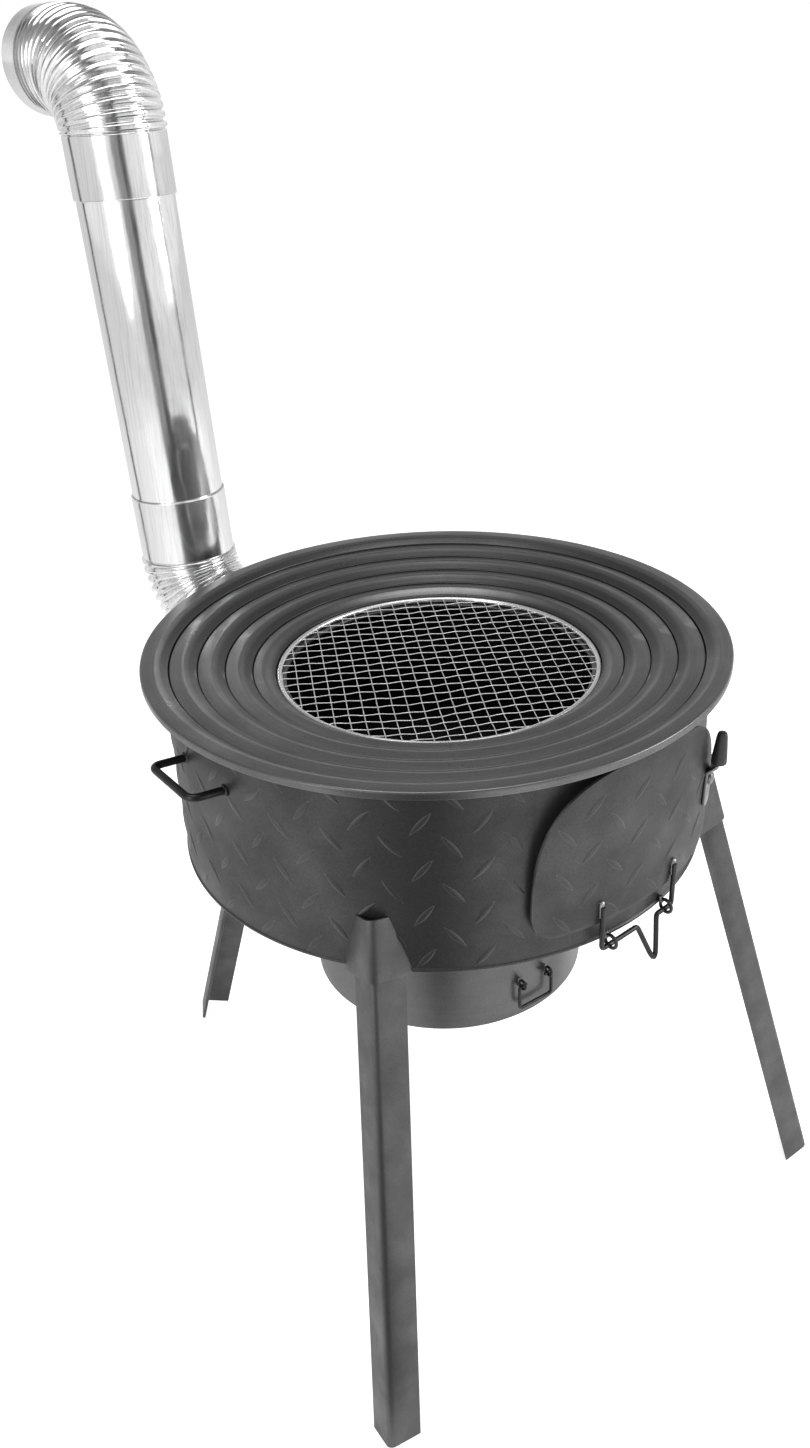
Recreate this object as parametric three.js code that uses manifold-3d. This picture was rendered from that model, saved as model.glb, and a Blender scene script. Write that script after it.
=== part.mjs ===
// A portable wood stove. A round sheet-steel firebox stands on four angle-iron legs that plug into
// sockets, with a hinged fuel door, nested cooking rings and a mesh grill on top, an ash pan
// below and a flue of one plain pipe between two ribbed elbows.
// Millimetres, +Z up. While it is built, the drum stands on the z axis and its door faces -Y.
import * as THREE from "three";
import { mergeVertices } from "three/addons/utils/BufferGeometryUtils.js";
import Module from "manifold-3d";

const wasm = await Module();
wasm.setup();

// Shared values
const clearance = 0.3; // gap between pieces that touch, slide or nest
const overrun = 12; // how far a cutting body runs past what it cuts
const weld = 0.001; // vertices nearer than this are one
const drumSteps = 48; // facets round the drum, the rim and what follows them
const ringSteps = 40; // facets round the cooking rings and the pan
const tubeSteps = 20; // facets round the flue
const rodSides = 8; // facets round a wire rod

// Heights above the floor
const rimTop = 538;
const stoveDepth = 161; // from the rim's top down to the drum's lower edge
const drumBottom = rimTop - stoveDepth;

// Firebox drum
const drumRadius = 213.6;
const drumSheet = 2;
const beadOut = 1;
const beadHeight = 2.6;

// Top rim: a flat band, a slope down into the well and a ledge for the first ring
const rimOverhang = 16.4;
const rimRadius = drumRadius + rimOverhang;
const rimSheet = 2;
const rimBand = 11;
const rimLip = 6;
const rimRound = 1.2;
const rimDip = 4.2;
const rimLedge = 10;
const rimShoulderShare = 0.45;
const rimShoulderDropShare = 0.35;

// Cooking rings, each seated on the ledge of the one outside it
const ringNames = ["pot_ring_1", "pot_ring_2", "pot_ring_3", "pot_ring_4"];
const ringSheet = 2.5;
const ringTopDepth = 4.7;
const ringPitch = 20.8;
const ringDrop = 4;
const ringLedge = 8;
const ringGap = 0.6;
const firstRingGap = 0.8;
const ringShoulder = 1;
const ringCrest = 0.6;
const ringCrestShare = 0.38;

// Mesh grill in the innermost ring
const lastRingWidth = 17.4; // from the innermost ring's outer edge to the grill's
const grillRimWire = 2.5;
const grillDrop = 4.7;
const netPitch = 18;
const netWire = 1.9;
const netTurn = 57.7;
const grillRimSides = 6;

// Drum floor and the grate over its ash hole
const floorSheet = 2;
const floorFlange = 8;
const ashHoleInset = 20.7; // how much smaller the ash hole is than the pan
const grateLap = 8;
const grateThickness = 6;
const grateRim = 10;
const grateSlot = 9;
const grateBar = 10;

// Ash pan, pushed up over a collar under the drum
const panRadius = 116.7;
const panSheet = 1;
const panDepth = 144;
const panCorner = 2.5;
const collarSheet = 1.5;
const collarHeight = 22;
const collarFlange = 14;

// Pan bail and its two eyes
const bailAzimuth = -95.2;
const bailDrop = 106;
const bailSpan = 28;
const bailHang = 23;
const bailWire = 1.5;
const bailBend = 2.5;
const bailEnd = 4;
const panEyeRadius = 4;
const panEyeWire = 1.2;

// Fuel door and the opening behind it
const doorHalfWidth = 95;
const doorSheet = 2;
const doorStandoff = 2.5;
const doorFlatterBy = 18; // how much larger the door's own radius is than one round the drum
const doorFoot = 20;
const doorHeadroom = 7;
const doorSideHeight = 25; // from the door's foot to the spring of its arch
const doorCorner = 22;
const doorLap = 9;
const archPower = 3;
const archSteps = 18;
const doorAjar = 3; // degrees that the door stands open in the photograph's pose

// Door hinge: a bent wire welded to the door and turning in two eyes under the drum
const hingeReach = 5;
const hingeDrop = 2.5;
const hingeWire = 2;
const hingeBend = 4;
const hingeEyeRadius = 5.4;
const hingeEyeWire = 1.4;
const hingeEyeSpacing = 62;
const leftUprightPlace = -41;
const rightUprightPlace = 37;
const uprightHeight = 38;
const loopPlace = 9;
const loopWidth = 22;
const loopLength = 38;
const loopLean = 20;

// Door latch
const latchInset = 11.54; // how far the latch is in from the door's edge
const latchDepth = 75;
const leverWidth = 11;
const leverSheet = 2;
const leverTail = 25;
const leverNeck = 7;
const leverJoggle = 6.5;
const leverSeat = 1.5;
const tangRadius = 2;
const tangLength = 20;
const capRadius = 6;
const capTopRadius = 3.3;
const capHeight = 27;
const capRound = 2;
const boltRadius = 3;
const boltHeadRadius = 5;
const boltHeadHeight = 3;
const boltTailRadius = 4.5;
const boltTailHeight = 1.2;
const boltTailSlack = 1; // room for the door's curve behind the flat tail
const keeperPlace = 18;
const keeperWidth = 8;
const keeperSheet = 1.5;
const keeperHeight = 20;
const keeperLip = 9;
const keeperSlack = 0.4; // room for the lever behind the lip and under the top

// Legs of rounded angle, tilted outwards. Each has the azimuth of its foot, and may lean sideways too.
const legs = [
  { name: "front_left", azimuth: -140.5, lean: 2.2 },
  { name: "front_right", azimuth: -48.8, lean: 0 },
  { name: "rear_left", azimuth: 103.3, lean: 3.9 },
  { name: "rear_right", azimuth: 38.6, lean: 0 },
];
const legStandoff = 20.3; // from the drum's wall to the ridge of a leg, level with the drum's lower edge
const legTilt = 16.2;
const legFlange = 28.5;
const legSheet = 3;
const legRidge = 5;
const legRise = 43; // height of the leg's top above the drum's lower edge

// Leg sockets
const socketSheet = 2;
const socketFlange = 38;
const socketFoot = 3.5;
const socketRise = 49;

// Side handles
const handleNames = ["side_handle_left", "side_handle_right"];
const handleAzimuth = 175.5;
const handleDepth = 43;
const handleSpan = 58;
const handleReach = 25;
const handleLift = 3;
const handleWire = 3;
const handleBend = 7;

// Flue: outlet, lower elbow, pipe and upper elbow
const flueAzimuth = 96.7;
const flueDepth = 61;
const flueRadius = 39.4;
const flueSheet = 1;
const flueSlip = 0.6; // slack of a sleeve round the pipe that it turns on
const stubLength = 28;
const saddleRadius = 46;
const saddleSheet = 2;
const outletRadius = 35;
const flueStandoff = 94.4; // from the drum's wall to the axis of the pipe's foot
const flueReach = drumRadius + flueStandoff;
const ribCrest = 42.2;
const ribValley = 38.2;
const ribBore = 36;
const pipeLean = 3.6;
const lowerBend = 62;
const lowerRibs = 14;
const lowerLap = 55;
const pipeRun = 345;
const upperLap = 47;
const upperBend = 49;
const upperRibs = 15;
const endCollarLength = 44;
const upperTurn = -9; // how far the upper elbow is turned on the pipe, from straight out
const ribsPerBoreStep = 4;

// Worked-out places
const { degToRad, radToDeg } = THREE.MathUtils;
const drumInner = drumRadius - drumSheet;
const drumTop = rimTop - rimDip - rimSheet - clearance;
const wellRadius = drumInner - clearance - rimSheet;
const grillRadius = ringRadius(ringNames.length - 1) - lastRingWidth;
const panTop = drumBottom - clearance;
const ashHoleRadius = panRadius - ashHoleInset;
const grateRadius = ashHoleRadius + grateLap;
const doorArchRise = stoveDepth - doorFoot - doorSideHeight - doorHeadroom;
const hingeHeight = drumBottom - hingeDrop;
const hingeOut = drumRadius + hingeReach;
const doorInner = drumRadius + doorStandoff;
const doorOuter = doorInner + doorSheet;
const sleeveBore = flueRadius + flueSlip;
const sleeveRadius = sleeveBore + flueSheet;
const tangOut = leverJoggle + leverSheet / 2;
const leverShoulder = leverNeck + leverJoggle;
const leverTop = leverShoulder + leverSeat;
const latchAngle = radToDeg(Math.asin((doorHalfWidth - latchInset) / doorOuter));
const latchOut = doorFaceAt(latchAngle) + clearance;
const legBack = legRidge + (legFlange - 2 * legRidge + legSheet) * Math.SQRT1_2;
const legHalfWidth = (legFlange - legSheet) * Math.SQRT1_2;
const legSpread = (drumBottom - legBack * Math.sin(degToRad(legTilt))) * Math.tan(degToRad(legTilt));
const legFootRadius = drumRadius + legStandoff + legSpread;

// Looks
function look(color, roughness, metalness) {
  return new THREE.MeshStandardMaterial({ color, roughness, metalness });
}
const darkSteel = look(0x4c4c4c, 0.55, 0.6);
const ringSteel = look(0x7c7c7c, 0.5, 0.7);
const legSteel = look(0x666666, 0.55, 0.6);
const panSteel = look(0x7d7d7d, 0.5, 0.6);
const brightWire = look(0xe2e2e2, 0.3, 0.9);
const greyWire = look(0x8a8a8a, 0.4, 0.8);
const flueMetal = look(0xd9d9d9, 0.2, 0.95);
const grateIron = look(0x2b2b2b, 0.8, 0.4);
const blackPlastic = look(0x262626, 0.6, 0);

// The triangles of an index whose three corners differ.
function withoutSlivers(index) {
  const kept = [];
  for (let i = 0; i < index.length; i += 3) {
    const [a, b, c] = index.slice(i, i + 3);
    if (a !== b && b !== c && c !== a) kept.push(a, b, c);
  }
  return new Uint32Array(kept);
}

// A closed geometry as a solid body that faces outwards.
function solid(geometry) {
  const bare = new THREE.BufferGeometry();
  bare.setAttribute("position", geometry.getAttribute("position"));
  bare.setIndex(geometry.index);
  const welded = mergeVertices(bare, weld);
  const vertProperties = welded.getAttribute("position").array;
  const corners = withoutSlivers(welded.index.array);
  const bodyOf = (triVerts) => new wasm.Manifold(new wasm.Mesh({ numProp: 3, vertProperties, triVerts }));
  const made = bodyOf(corners);
  return made.volume() > 0 ? made : bodyOf(corners.reverse());
}

// A named mesh of a solid body.
function piece(name, body, material) {
  const { vertProperties, triVerts } = body.getMesh();
  const shared = new THREE.BufferGeometry();
  shared.setAttribute("position", new THREE.BufferAttribute(new Float32Array(vertProperties), 3));
  shared.setIndex(new THREE.BufferAttribute(new Uint32Array(triVerts), 1));
  const geometry = shared.toNonIndexed();
  geometry.computeVertexNormals();
  const mesh = new THREE.Mesh(geometry, material);
  mesh.name = name;
  return mesh;
}

// A geometry turned about z to an azimuth in degrees.
function atAzimuth(geometry, azimuth) {
  return geometry.rotateZ(degToRad(azimuth));
}

// A shape through a list of [across, up] points.
function outline(points) {
  return new THREE.Shape(points.map(([across, up]) => new THREE.Vector2(across, up)));
}

// A body of revolution about z from a closed outline of [radius, height] points.
function turned(points, steps) {
  const profile = [...points, points[0]].map(([radius, height]) => new THREE.Vector2(radius, height));
  return new THREE.LatheGeometry(profile, steps).rotateX(Math.PI / 2);
}

// A plain tube or ring about z.
function tube(inner, outer, low, high, steps) {
  return turned([[inner, low], [outer, low], [outer, high], [inner, high]], steps);
}

// A plain cylinder about z.
function bar(radius, low, high, steps) {
  return new THREE.CylinderGeometry(radius, radius, high - low, steps)
    .rotateX(Math.PI / 2)
    .translate(0, 0, (low + high) / 2);
}

// A shape drawn in x and y, as a plate that rises along z.
function plate(shape, depth, curveSegments = 6) {
  return new THREE.ExtrudeGeometry(shape, { depth, bevelEnabled: false, curveSegments });
}

// The centre line of a bent rod: straight runs between corners, with an arc at each corner.
class BentLine extends THREE.Curve {
  constructor(corners, bendRadius, arcSteps = 3) {
    super();
    this.stations = [corners[0]];
    for (let i = 1; i < corners.length - 1; i++) {
      const back = corners[i - 1].clone().sub(corners[i]).normalize();
      const ahead = corners[i + 1].clone().sub(corners[i]).normalize();
      const reach = bendRadius / Math.tan(back.angleTo(ahead) / 2);
      const arc = new THREE.QuadraticBezierCurve3(
        corners[i].clone().addScaledVector(back, reach),
        corners[i],
        corners[i].clone().addScaledVector(ahead, reach),
      );
      this.stations.push(...arc.getPoints(arcSteps));
    }
    this.stations.push(corners.at(-1));
    this.last = this.stations.length - 1;
  }

  getPoint(share) {
    const place = share * this.last;
    const from = Math.min(Math.floor(place), this.last - 1);
    return this.stations[from].clone().lerp(this.stations[from + 1], place - from);
  }

  getPointAt(share) {
    return this.getPoint(share);
  }

  getTangentAt(share) {
    const here = Math.round(share * this.last);
    const runs = [];
    if (here > 0) runs.push(this.run(here - 1));
    if (here < this.last) runs.push(this.run(here));
    return runs.reduce((sum, run) => sum.add(run)).normalize();
  }

  run(from) {
    return this.stations[from + 1].clone().sub(this.stations[from]).normalize();
  }
}

// A round rod along corners given as [x, y, z].
function rod(corners, radius, bendRadius) {
  const line = new BentLine(corners.map((corner) => new THREE.Vector3(...corner)), bendRadius);
  const section = new THREE.Shape().absarc(0, 0, radius, 0, 2 * Math.PI);
  return new THREE.ExtrudeGeometry(section, {
    steps: line.last,
    curveSegments: rodSides / 2,
    extrudePath: line,
    bevelEnabled: false,
  });
}

// A solid round the drum's outside, to trim what seats on the wall.
function drumCutter(gap) {
  return solid(bar(drumRadius + gap, drumBottom - overrun, rimTop, drumSteps));
}

// The door's outline seen from the front, drawn in x and z and drawn in by an inset: straight sides
// on rounded lower corners, under an arch.
function doorOutline(inset) {
  const half = doorHalfWidth - inset;
  const low = drumBottom + doorFoot + inset;
  const rise = doorArchRise - inset;
  const spring = rimTop - doorHeadroom - doorArchRise;
  const corner = doorCorner - inset;
  const shape = new THREE.Shape();
  shape.moveTo(-half, low + corner);
  shape.absarc(-half + corner, low + corner, corner, Math.PI, 1.5 * Math.PI);
  shape.absarc(half - corner, low + corner, corner, -0.5 * Math.PI, 0);
  for (let step = 0; step <= archSteps; step++) {
    const turn = (Math.PI * step) / archSteps;
    const across = Math.sign(Math.cos(turn)) * Math.abs(Math.cos(turn)) ** (2 / archPower);
    const up = Math.max(Math.sin(turn), 0) ** (2 / archPower);
    shape.lineTo(half * across, spring + rise * up);
  }
  return shape;
}

// A block of the door's outline that reaches from the drum's axis out through its front.
function doorBlock(inset) {
  return solid(plate(doorOutline(inset), hingeOut + overrun, 4).rotateX(Math.PI / 2));
}

// A cylinder from the drum's axis out along the flue's outlet.
function flueBlock(radius, reach) {
  const block = bar(radius, 0, reach, tubeSteps).rotateY(Math.PI / 2);
  return solid(atAzimuth(block, flueAzimuth).translate(0, 0, rimTop - flueDepth));
}

function makeDrum() {
  const wall = turned([
    [drumInner, drumBottom],
    [drumRadius + beadOut / 2, drumBottom],
    [drumRadius + beadOut, drumBottom + beadHeight / 3],
    [drumRadius + beadOut, drumBottom + (2 * beadHeight) / 3],
    [drumRadius, drumBottom + beadHeight],
    [drumRadius, drumTop],
    [drumInner, drumTop],
  ], drumSteps);
  const opened = solid(wall).subtract(doorBlock(doorLap));
  return piece("firebox_drum", opened.subtract(flueBlock(outletRadius, drumRadius + overrun)), darkSteel);
}

function makeDrumFloor() {
  const outer = drumInner - clearance;
  const top = drumBottom + floorSheet;
  const dish = turned([
    [ashHoleRadius, drumBottom],
    [outer, drumBottom],
    [outer, top + floorFlange],
    [outer - floorSheet, top + floorFlange],
    [outer - floorSheet, top],
    [ashHoleRadius, top],
  ], drumSteps);
  return piece("drum_floor", solid(dish), darkSteel);
}

function makeGrate() {
  const inner = grateRadius - grateRim;
  const pitch = grateSlot + grateBar;
  const rows = Math.floor((inner - grateSlot / 2) / pitch);
  const slots = [];
  for (let row = -rows; row <= rows; row++) {
    const low = row * pitch - grateSlot / 2;
    const high = low + grateSlot;
    const far = Math.sqrt(inner ** 2 - Math.max(Math.abs(low), Math.abs(high)) ** 2);
    const near = grateBar / 2;
    slots.push(outline([[near, low], [far, low], [far, high], [near, high]]));
    slots.push(outline([[-far, low], [-near, low], [-near, high], [-far, high]]));
  }
  const bottom = drumBottom + floorSheet + clearance;
  const disc = solid(bar(grateRadius, bottom, bottom + grateThickness, ringSteps));
  const cut = plate(slots, grateThickness + 2 * overrun).translate(0, 0, bottom - overrun);
  return piece("fire_grate", disc.subtract(solid(cut)), grateIron);
}

function makePanCollar() {
  const outer = panRadius - panSheet - clearance;
  const top = drumBottom - clearance;
  const ring = turned([
    [outer - collarSheet, top - collarHeight],
    [outer, top - collarHeight],
    [outer, top],
    [outer - collarFlange, top],
    [outer - collarFlange, top - collarSheet],
    [outer - collarSheet, top - collarSheet],
  ], ringSteps);
  return piece("pan_collar", solid(ring), darkSteel);
}

function makePan() {
  const bottom = drumBottom - panDepth;
  const inner = panRadius - panSheet;
  const cup = turned([
    [0, bottom],
    [panRadius - panCorner, bottom],
    [panRadius, bottom + panCorner],
    [panRadius, panTop],
    [inner, panTop],
    [inner, bottom + panCorner],
    [panRadius - panCorner, bottom + panSheet],
    [0, bottom + panSheet],
  ], ringSteps);
  return piece("ash_pan", solid(cup), panSteel);
}

// A small wire ring whose hole runs along the way across: y at azimuth 0.
function eye(radius, wire) {
  return new THREE.TorusGeometry(radius, wire, 6, 12).rotateX(Math.PI / 2);
}

// Distance from the drum's axis to the line through both eyes.
const panEyeOut = Math.sqrt(panRadius ** 2 - (bailSpan / 2) ** 2) + clearance + panEyeRadius + panEyeWire;

function makePanEye(name, side) {
  const ring = eye(panEyeRadius, panEyeWire).translate(panEyeOut, (side * bailSpan) / 2, drumBottom - bailDrop);
  return piece(name, solid(atAzimuth(ring, bailAzimuth)), greyWire);
}

function makeBail() {
  const seat = panEyeRadius - panEyeWire - bailWire - clearance;
  const leg = bailSpan / 2 + panEyeWire + bailWire + clearance;
  const tip = bailSpan / 2 - bailEnd;
  const wire = rod([
    [0, -tip, 0],
    [0, -leg, 0],
    [0, -leg, -bailHang],
    [0, leg, -bailHang],
    [0, leg, 0],
    [0, tip, 0],
  ], bailWire, bailBend).translate(panEyeOut, 0, drumBottom - bailDrop - seat);
  return piece("pan_bail", solid(atAzimuth(wire, bailAzimuth)), greyWire);
}

// Distance from the drum's axis to the closed door's face, at an angle from the door's middle.
function doorFaceAt(angle) {
  const turn = degToRad(angle);
  const radius = doorOuter + doorFlatterBy;
  return Math.sqrt(radius ** 2 - (doorFlatterBy * Math.sin(turn)) ** 2) - doorFlatterBy * Math.cos(turn);
}

// The door's plate: part of a cylinder a little flatter than the drum, cut to the door's outline.
function makeDoorPlate() {
  const shell = tube(doorInner + doorFlatterBy, doorOuter + doorFlatterBy, drumBottom, rimTop, drumSteps);
  const blank = solid(shell.translate(0, doorFlatterBy, 0)).intersect(doorBlock(0));
  const hole = bar(boltRadius + clearance, 0, drumRadius + overrun, rodSides).rotateX(Math.PI / 2);
  hole.rotateZ(degToRad(latchAngle)).translate(0, 0, rimTop - latchDepth);
  return piece("fuel_door", blank.subtract(solid(hole)), darkSteel);
}

// How far behind the hinge axis a rod lies on the door's face, at a place across the door.
function uprightLean(place) {
  const face = Math.sqrt((doorOuter + doorFlatterBy) ** 2 - place ** 2) - doorFlatterBy;
  return hingeOut - face - hingeWire - clearance;
}

function makeHingeWire() {
  const lean = degToRad(loopLean);
  const wire = rod([
    [leftUprightPlace, uprightLean(leftUprightPlace), uprightHeight],
    [leftUprightPlace, 0, 0],
    [loopPlace - loopWidth / 2, 0, 0],
    [loopPlace, -loopLength * Math.sin(lean), -loopLength * Math.cos(lean)],
    [loopPlace + loopWidth / 2, 0, 0],
    [rightUprightPlace, 0, 0],
    [rightUprightPlace, uprightLean(rightUprightPlace), uprightHeight],
  ], hingeWire, hingeBend);
  return piece("door_hinge_wire", solid(wire.translate(0, -hingeOut, hingeHeight)), greyWire);
}

function makeHingeEye(name, side) {
  const seat = hingeEyeRadius - hingeEyeWire - hingeWire - clearance;
  const ring = eye(hingeEyeRadius, hingeEyeWire).rotateZ(Math.PI / 2);
  ring.translate((side * hingeEyeSpacing) / 2, -hingeOut, hingeHeight + seat);
  return piece(name, solid(ring).subtract(drumCutter(beadOut + clearance)), greyWire);
}

// Moves a geometry drawn at the latch, with x across the door, -y outwards and z up, to its place.
function atLatch(geometry) {
  return geometry
    .translate(0, -latchOut, 0)
    .rotateZ(degToRad(latchAngle))
    .translate(0, 0, rimTop - latchDepth);
}

// A strip drawn from its side as [out, up] points, as wide as given and centred on a place across.
function sideStrip(points, width, place) {
  const strip = plate(outline(points), width).rotateX(Math.PI / 2).rotateZ(-Math.PI / 2);
  return strip.translate(place + width / 2, 0, 0);
}

// The lever: a strip with a rounded tail, set off outwards above the bolt to carry the cap.
function makeLever() {
  const side = sideStrip([
    [0, -leverTail],
    [0, leverNeck],
    [leverJoggle, leverShoulder],
    [leverJoggle, leverTop],
    [leverJoggle + leverSheet, leverTop],
    [leverJoggle + leverSheet, leverShoulder - leverSheet / 2],
    [leverSheet, leverNeck - leverSheet / 2],
    [leverSheet, -leverTail],
  ], leverWidth, 0);
  const half = leverWidth / 2;
  const face = new THREE.Shape();
  face.moveTo(half, leverTop);
  face.lineTo(-half, leverTop);
  face.absarc(0, -leverTail + half, half, Math.PI, 2 * Math.PI);
  const blank = plate(face, 2 * overrun).rotateX(Math.PI / 2).translate(0, overrun / 2, 0);
  const tang = bar(tangRadius, leverShoulder, leverTop + tangLength, rodSides).translate(0, -tangOut, 0);
  const hole = bar(boltRadius + clearance, -overrun, overrun, rodSides).rotateX(Math.PI / 2);
  const lever = solid(atLatch(side)).intersect(solid(atLatch(blank)));
  return piece("latch_lever", lever.add(solid(atLatch(tang))).subtract(solid(atLatch(hole))), brightWire);
}

function makeCap() {
  const low = leverTop + clearance;
  const high = low + capHeight;
  const pocket = tangRadius + clearance;
  const pocketTop = leverTop + tangLength + clearance;
  const cap = turned([
    [0, pocketTop],
    [pocket, pocketTop],
    [pocket, low],
    [capRadius, low],
    [capRadius, low + capRound],
    [capTopRadius, high - capRound],
    [capTopRadius / 2, high],
    [0, high],
  ], 2 * rodSides);
  return piece("latch_cap", solid(atLatch(cap.translate(0, -tangOut, 0))), blackPlastic);
}

// The latch bolt: a domed head outside the lever, a shank, and a peened tail inside the door.
function makeBolt() {
  const tail = -doorSheet - clearance - boltTailSlack;
  const head = leverSheet + clearance;
  const bolt = turned([
    [0, tail - boltTailHeight],
    [boltTailRadius, tail - boltTailHeight],
    [boltTailRadius, tail],
    [boltRadius, tail],
    [boltRadius, head],
    [boltHeadRadius, head],
    [boltHeadRadius, head + boltHeadHeight / 2],
    [boltHeadRadius / 2, head + boltHeadHeight],
    [0, head + boltHeadHeight],
  ], rodSides);
  return piece("latch_bolt", solid(atLatch(bolt.rotateX(Math.PI / 2))), brightWire);
}

// The keeper: a hooked strip on the drum, open below, that the lever's tail turns up behind.
function makeKeeper() {
  const wall = Math.sqrt(drumRadius ** 2 - keeperPlace ** 2) - latchOut;
  const base = wall + keeperSheet;
  const lip = leverSheet + keeperSlack;
  const web = leverWidth / 2 + keeperSlack;
  const top = web + keeperSheet;
  const hook = sideStrip([
    [wall - overrun, top - keeperHeight],
    [base, top - keeperHeight],
    [base, web],
    [lip, web],
    [lip, top - keeperLip],
    [lip + keeperSheet, top - keeperLip],
    [lip + keeperSheet, top],
    [wall - overrun, top],
  ], keeperWidth, keeperPlace);
  return piece("latch_keeper", solid(atLatch(hook)).subtract(drumCutter(clearance)), darkSteel);
}

// The section of a rounded angle, its ridge at the origin and pointing along x. The ridge's outer
// radius grows for a piece that goes round the leg.
function angleSection(ridge, sheet, straight) {
  const slope = Math.PI / 4;
  const inner = ridge - sheet;
  const shape = new THREE.Shape();
  shape.moveTo(-legRidge + (ridge - straight) * Math.SQRT1_2, -(ridge + straight) * Math.SQRT1_2);
  shape.absarc(-legRidge, 0, ridge, -slope, slope);
  shape.lineTo(-legRidge + (ridge - straight) * Math.SQRT1_2, (ridge + straight) * Math.SQRT1_2);
  shape.lineTo(-legRidge + (inner - straight) * Math.SQRT1_2, (inner + straight) * Math.SQRT1_2);
  shape.absarc(-legRidge, 0, inner, slope, -slope, true);
  shape.lineTo(-legRidge + (inner - straight) * Math.SQRT1_2, -(inner + straight) * Math.SQRT1_2);
  return shape;
}

// Height of the ridge's foot above the floor: the lowest corner of the square-cut end stands on it.
function footRise(lean) {
  const back = legBack * Math.sin(degToRad(legTilt)) * Math.cos(degToRad(lean));
  return back + legHalfWidth * Math.sin(Math.abs(degToRad(lean)));
}

// A square-cut length of angle between two heights of its ridge, tilted and leaning as a leg is.
function tiltedAngle(section, low, high, { azimuth, lean }) {
  const tilt = degToRad(legTilt);
  const rise = footRise(lean);
  const along = (height) => (height - rise) / Math.cos(tilt) / Math.cos(degToRad(lean));
  const length = plate(section, along(high) - along(low), 3).translate(0, 0, along(low)).rotateY(-tilt);
  length.rotateX(degToRad(lean));
  return solid(atAzimuth(length.translate(legFootRadius, 0, rise), azimuth));
}

function makeLeg(leg) {
  const section = angleSection(legRidge, legSheet, legFlange - legRidge);
  const length = tiltedAngle(section, footRise(leg.lean), drumBottom + legRise, leg);
  return piece("leg_" + leg.name, length.subtract(drumCutter(beadOut + clearance)), legSteel);
}

// A leg's socket: a larger angle, cut to the drum's wall and clear of the bead at its foot.
function makeSocket(leg) {
  const section = angleSection(legRidge + clearance + socketSheet, socketSheet, socketFlange);
  const length = tiltedAngle(section, drumBottom + socketFoot, drumBottom + socketRise, leg);
  const beadClear = drumBottom + beadHeight + clearance;
  const room = turned([
    [drumRadius + beadOut + clearance, drumBottom - overrun],
    [legFootRadius, drumBottom - overrun],
    [legFootRadius, rimTop],
    [drumRadius + clearance, rimTop],
    [drumRadius + clearance, beadClear],
    [drumRadius + beadOut + clearance, beadClear],
  ], drumSteps);
  return piece("leg_socket_" + leg.name, length.intersect(solid(room)), legSteel);
}

function makeSideHandle(name, azimuth) {
  const root = drumRadius - 2 * handleWire;
  const reach = drumRadius + handleReach;
  const half = handleSpan / 2;
  const wire = rod([
    [root, -half, 0],
    [reach, -half, handleLift],
    [reach, half, handleLift],
    [root, half, 0],
  ], handleWire, handleBend).translate(0, 0, rimTop - handleDepth);
  return piece(name, solid(atAzimuth(wire, azimuth)).subtract(drumCutter(clearance)), legSteel);
}

function makeRim() {
  const slopeTop = rimRadius - rimBand;
  const slope = slopeTop - wellRadius;
  const shoulder = slopeTop - slope * rimShoulderShare;
  const shoulderTop = rimTop - rimDip * rimShoulderDropShare;
  const ledge = ringTop(0) - ringSheet - clearance;
  const rim = turned([
    [rimRadius, rimTop - rimLip],
    [rimRadius, rimTop - rimRound],
    [rimRadius - rimRound, rimTop],
    [slopeTop, rimTop],
    [shoulder, shoulderTop],
    [wellRadius, rimTop - rimDip],
    [wellRadius, ledge],
    [wellRadius - rimLedge, ledge],
    [wellRadius - rimLedge, ledge - rimSheet],
    [wellRadius + rimSheet, ledge - rimSheet],
    [wellRadius + rimSheet, rimTop - rimDip - rimSheet],
    [shoulder, shoulderTop - rimSheet],
    [slopeTop, rimTop - rimSheet],
    [rimRadius - rimSheet, rimTop - rimSheet],
    [rimRadius - rimSheet, rimTop - rimLip],
  ], drumSteps);
  return piece("top_rim", solid(rim), ringSteel);
}

// Height of the top of a cooking ring's outer edge, counted from the outermost ring.
function ringTop(index) {
  return rimTop - ringTopDepth - index * ringDrop;
}

// Outer radius of a cooking ring, counted from the outermost ring.
function ringRadius(index) {
  return wellRadius - firstRingGap - index * ringPitch;
}

// A pressed ring: a rounded shoulder, a crest, a slope down to the next ring and its ledge.
function makeRing(name, index) {
  const last = index === ringNames.length - 1;
  const outer = ringRadius(index);
  const top = ringTop(index);
  const inner = (last ? grillRadius : ringRadius(index + 1)) + ringGap;
  const drop = last ? grillDrop : ringDrop;
  const seated = last ? 2 * grillRimWire : ringSheet;
  const ledge = top - drop - seated - clearance;
  const crest = outer - (outer - inner) * ringCrestShare;
  const slopeEnd = top - drop + ringGap;
  const ring = turned([
    [outer, top - ringSheet],
    [outer, top - ringShoulder],
    [outer - ringShoulder, top],
    [crest, top + ringCrest],
    [inner, slopeEnd],
    [inner, ledge],
    [inner - ringLedge, ledge],
    [inner - ringLedge, ledge - ringSheet],
    [inner + ringSheet, ledge - ringSheet],
    [inner + ringSheet, slopeEnd - ringSheet],
    [crest, top + ringCrest - ringSheet],
  ], ringSteps);
  return piece(name, solid(ring), ringSteel);
}

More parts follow.
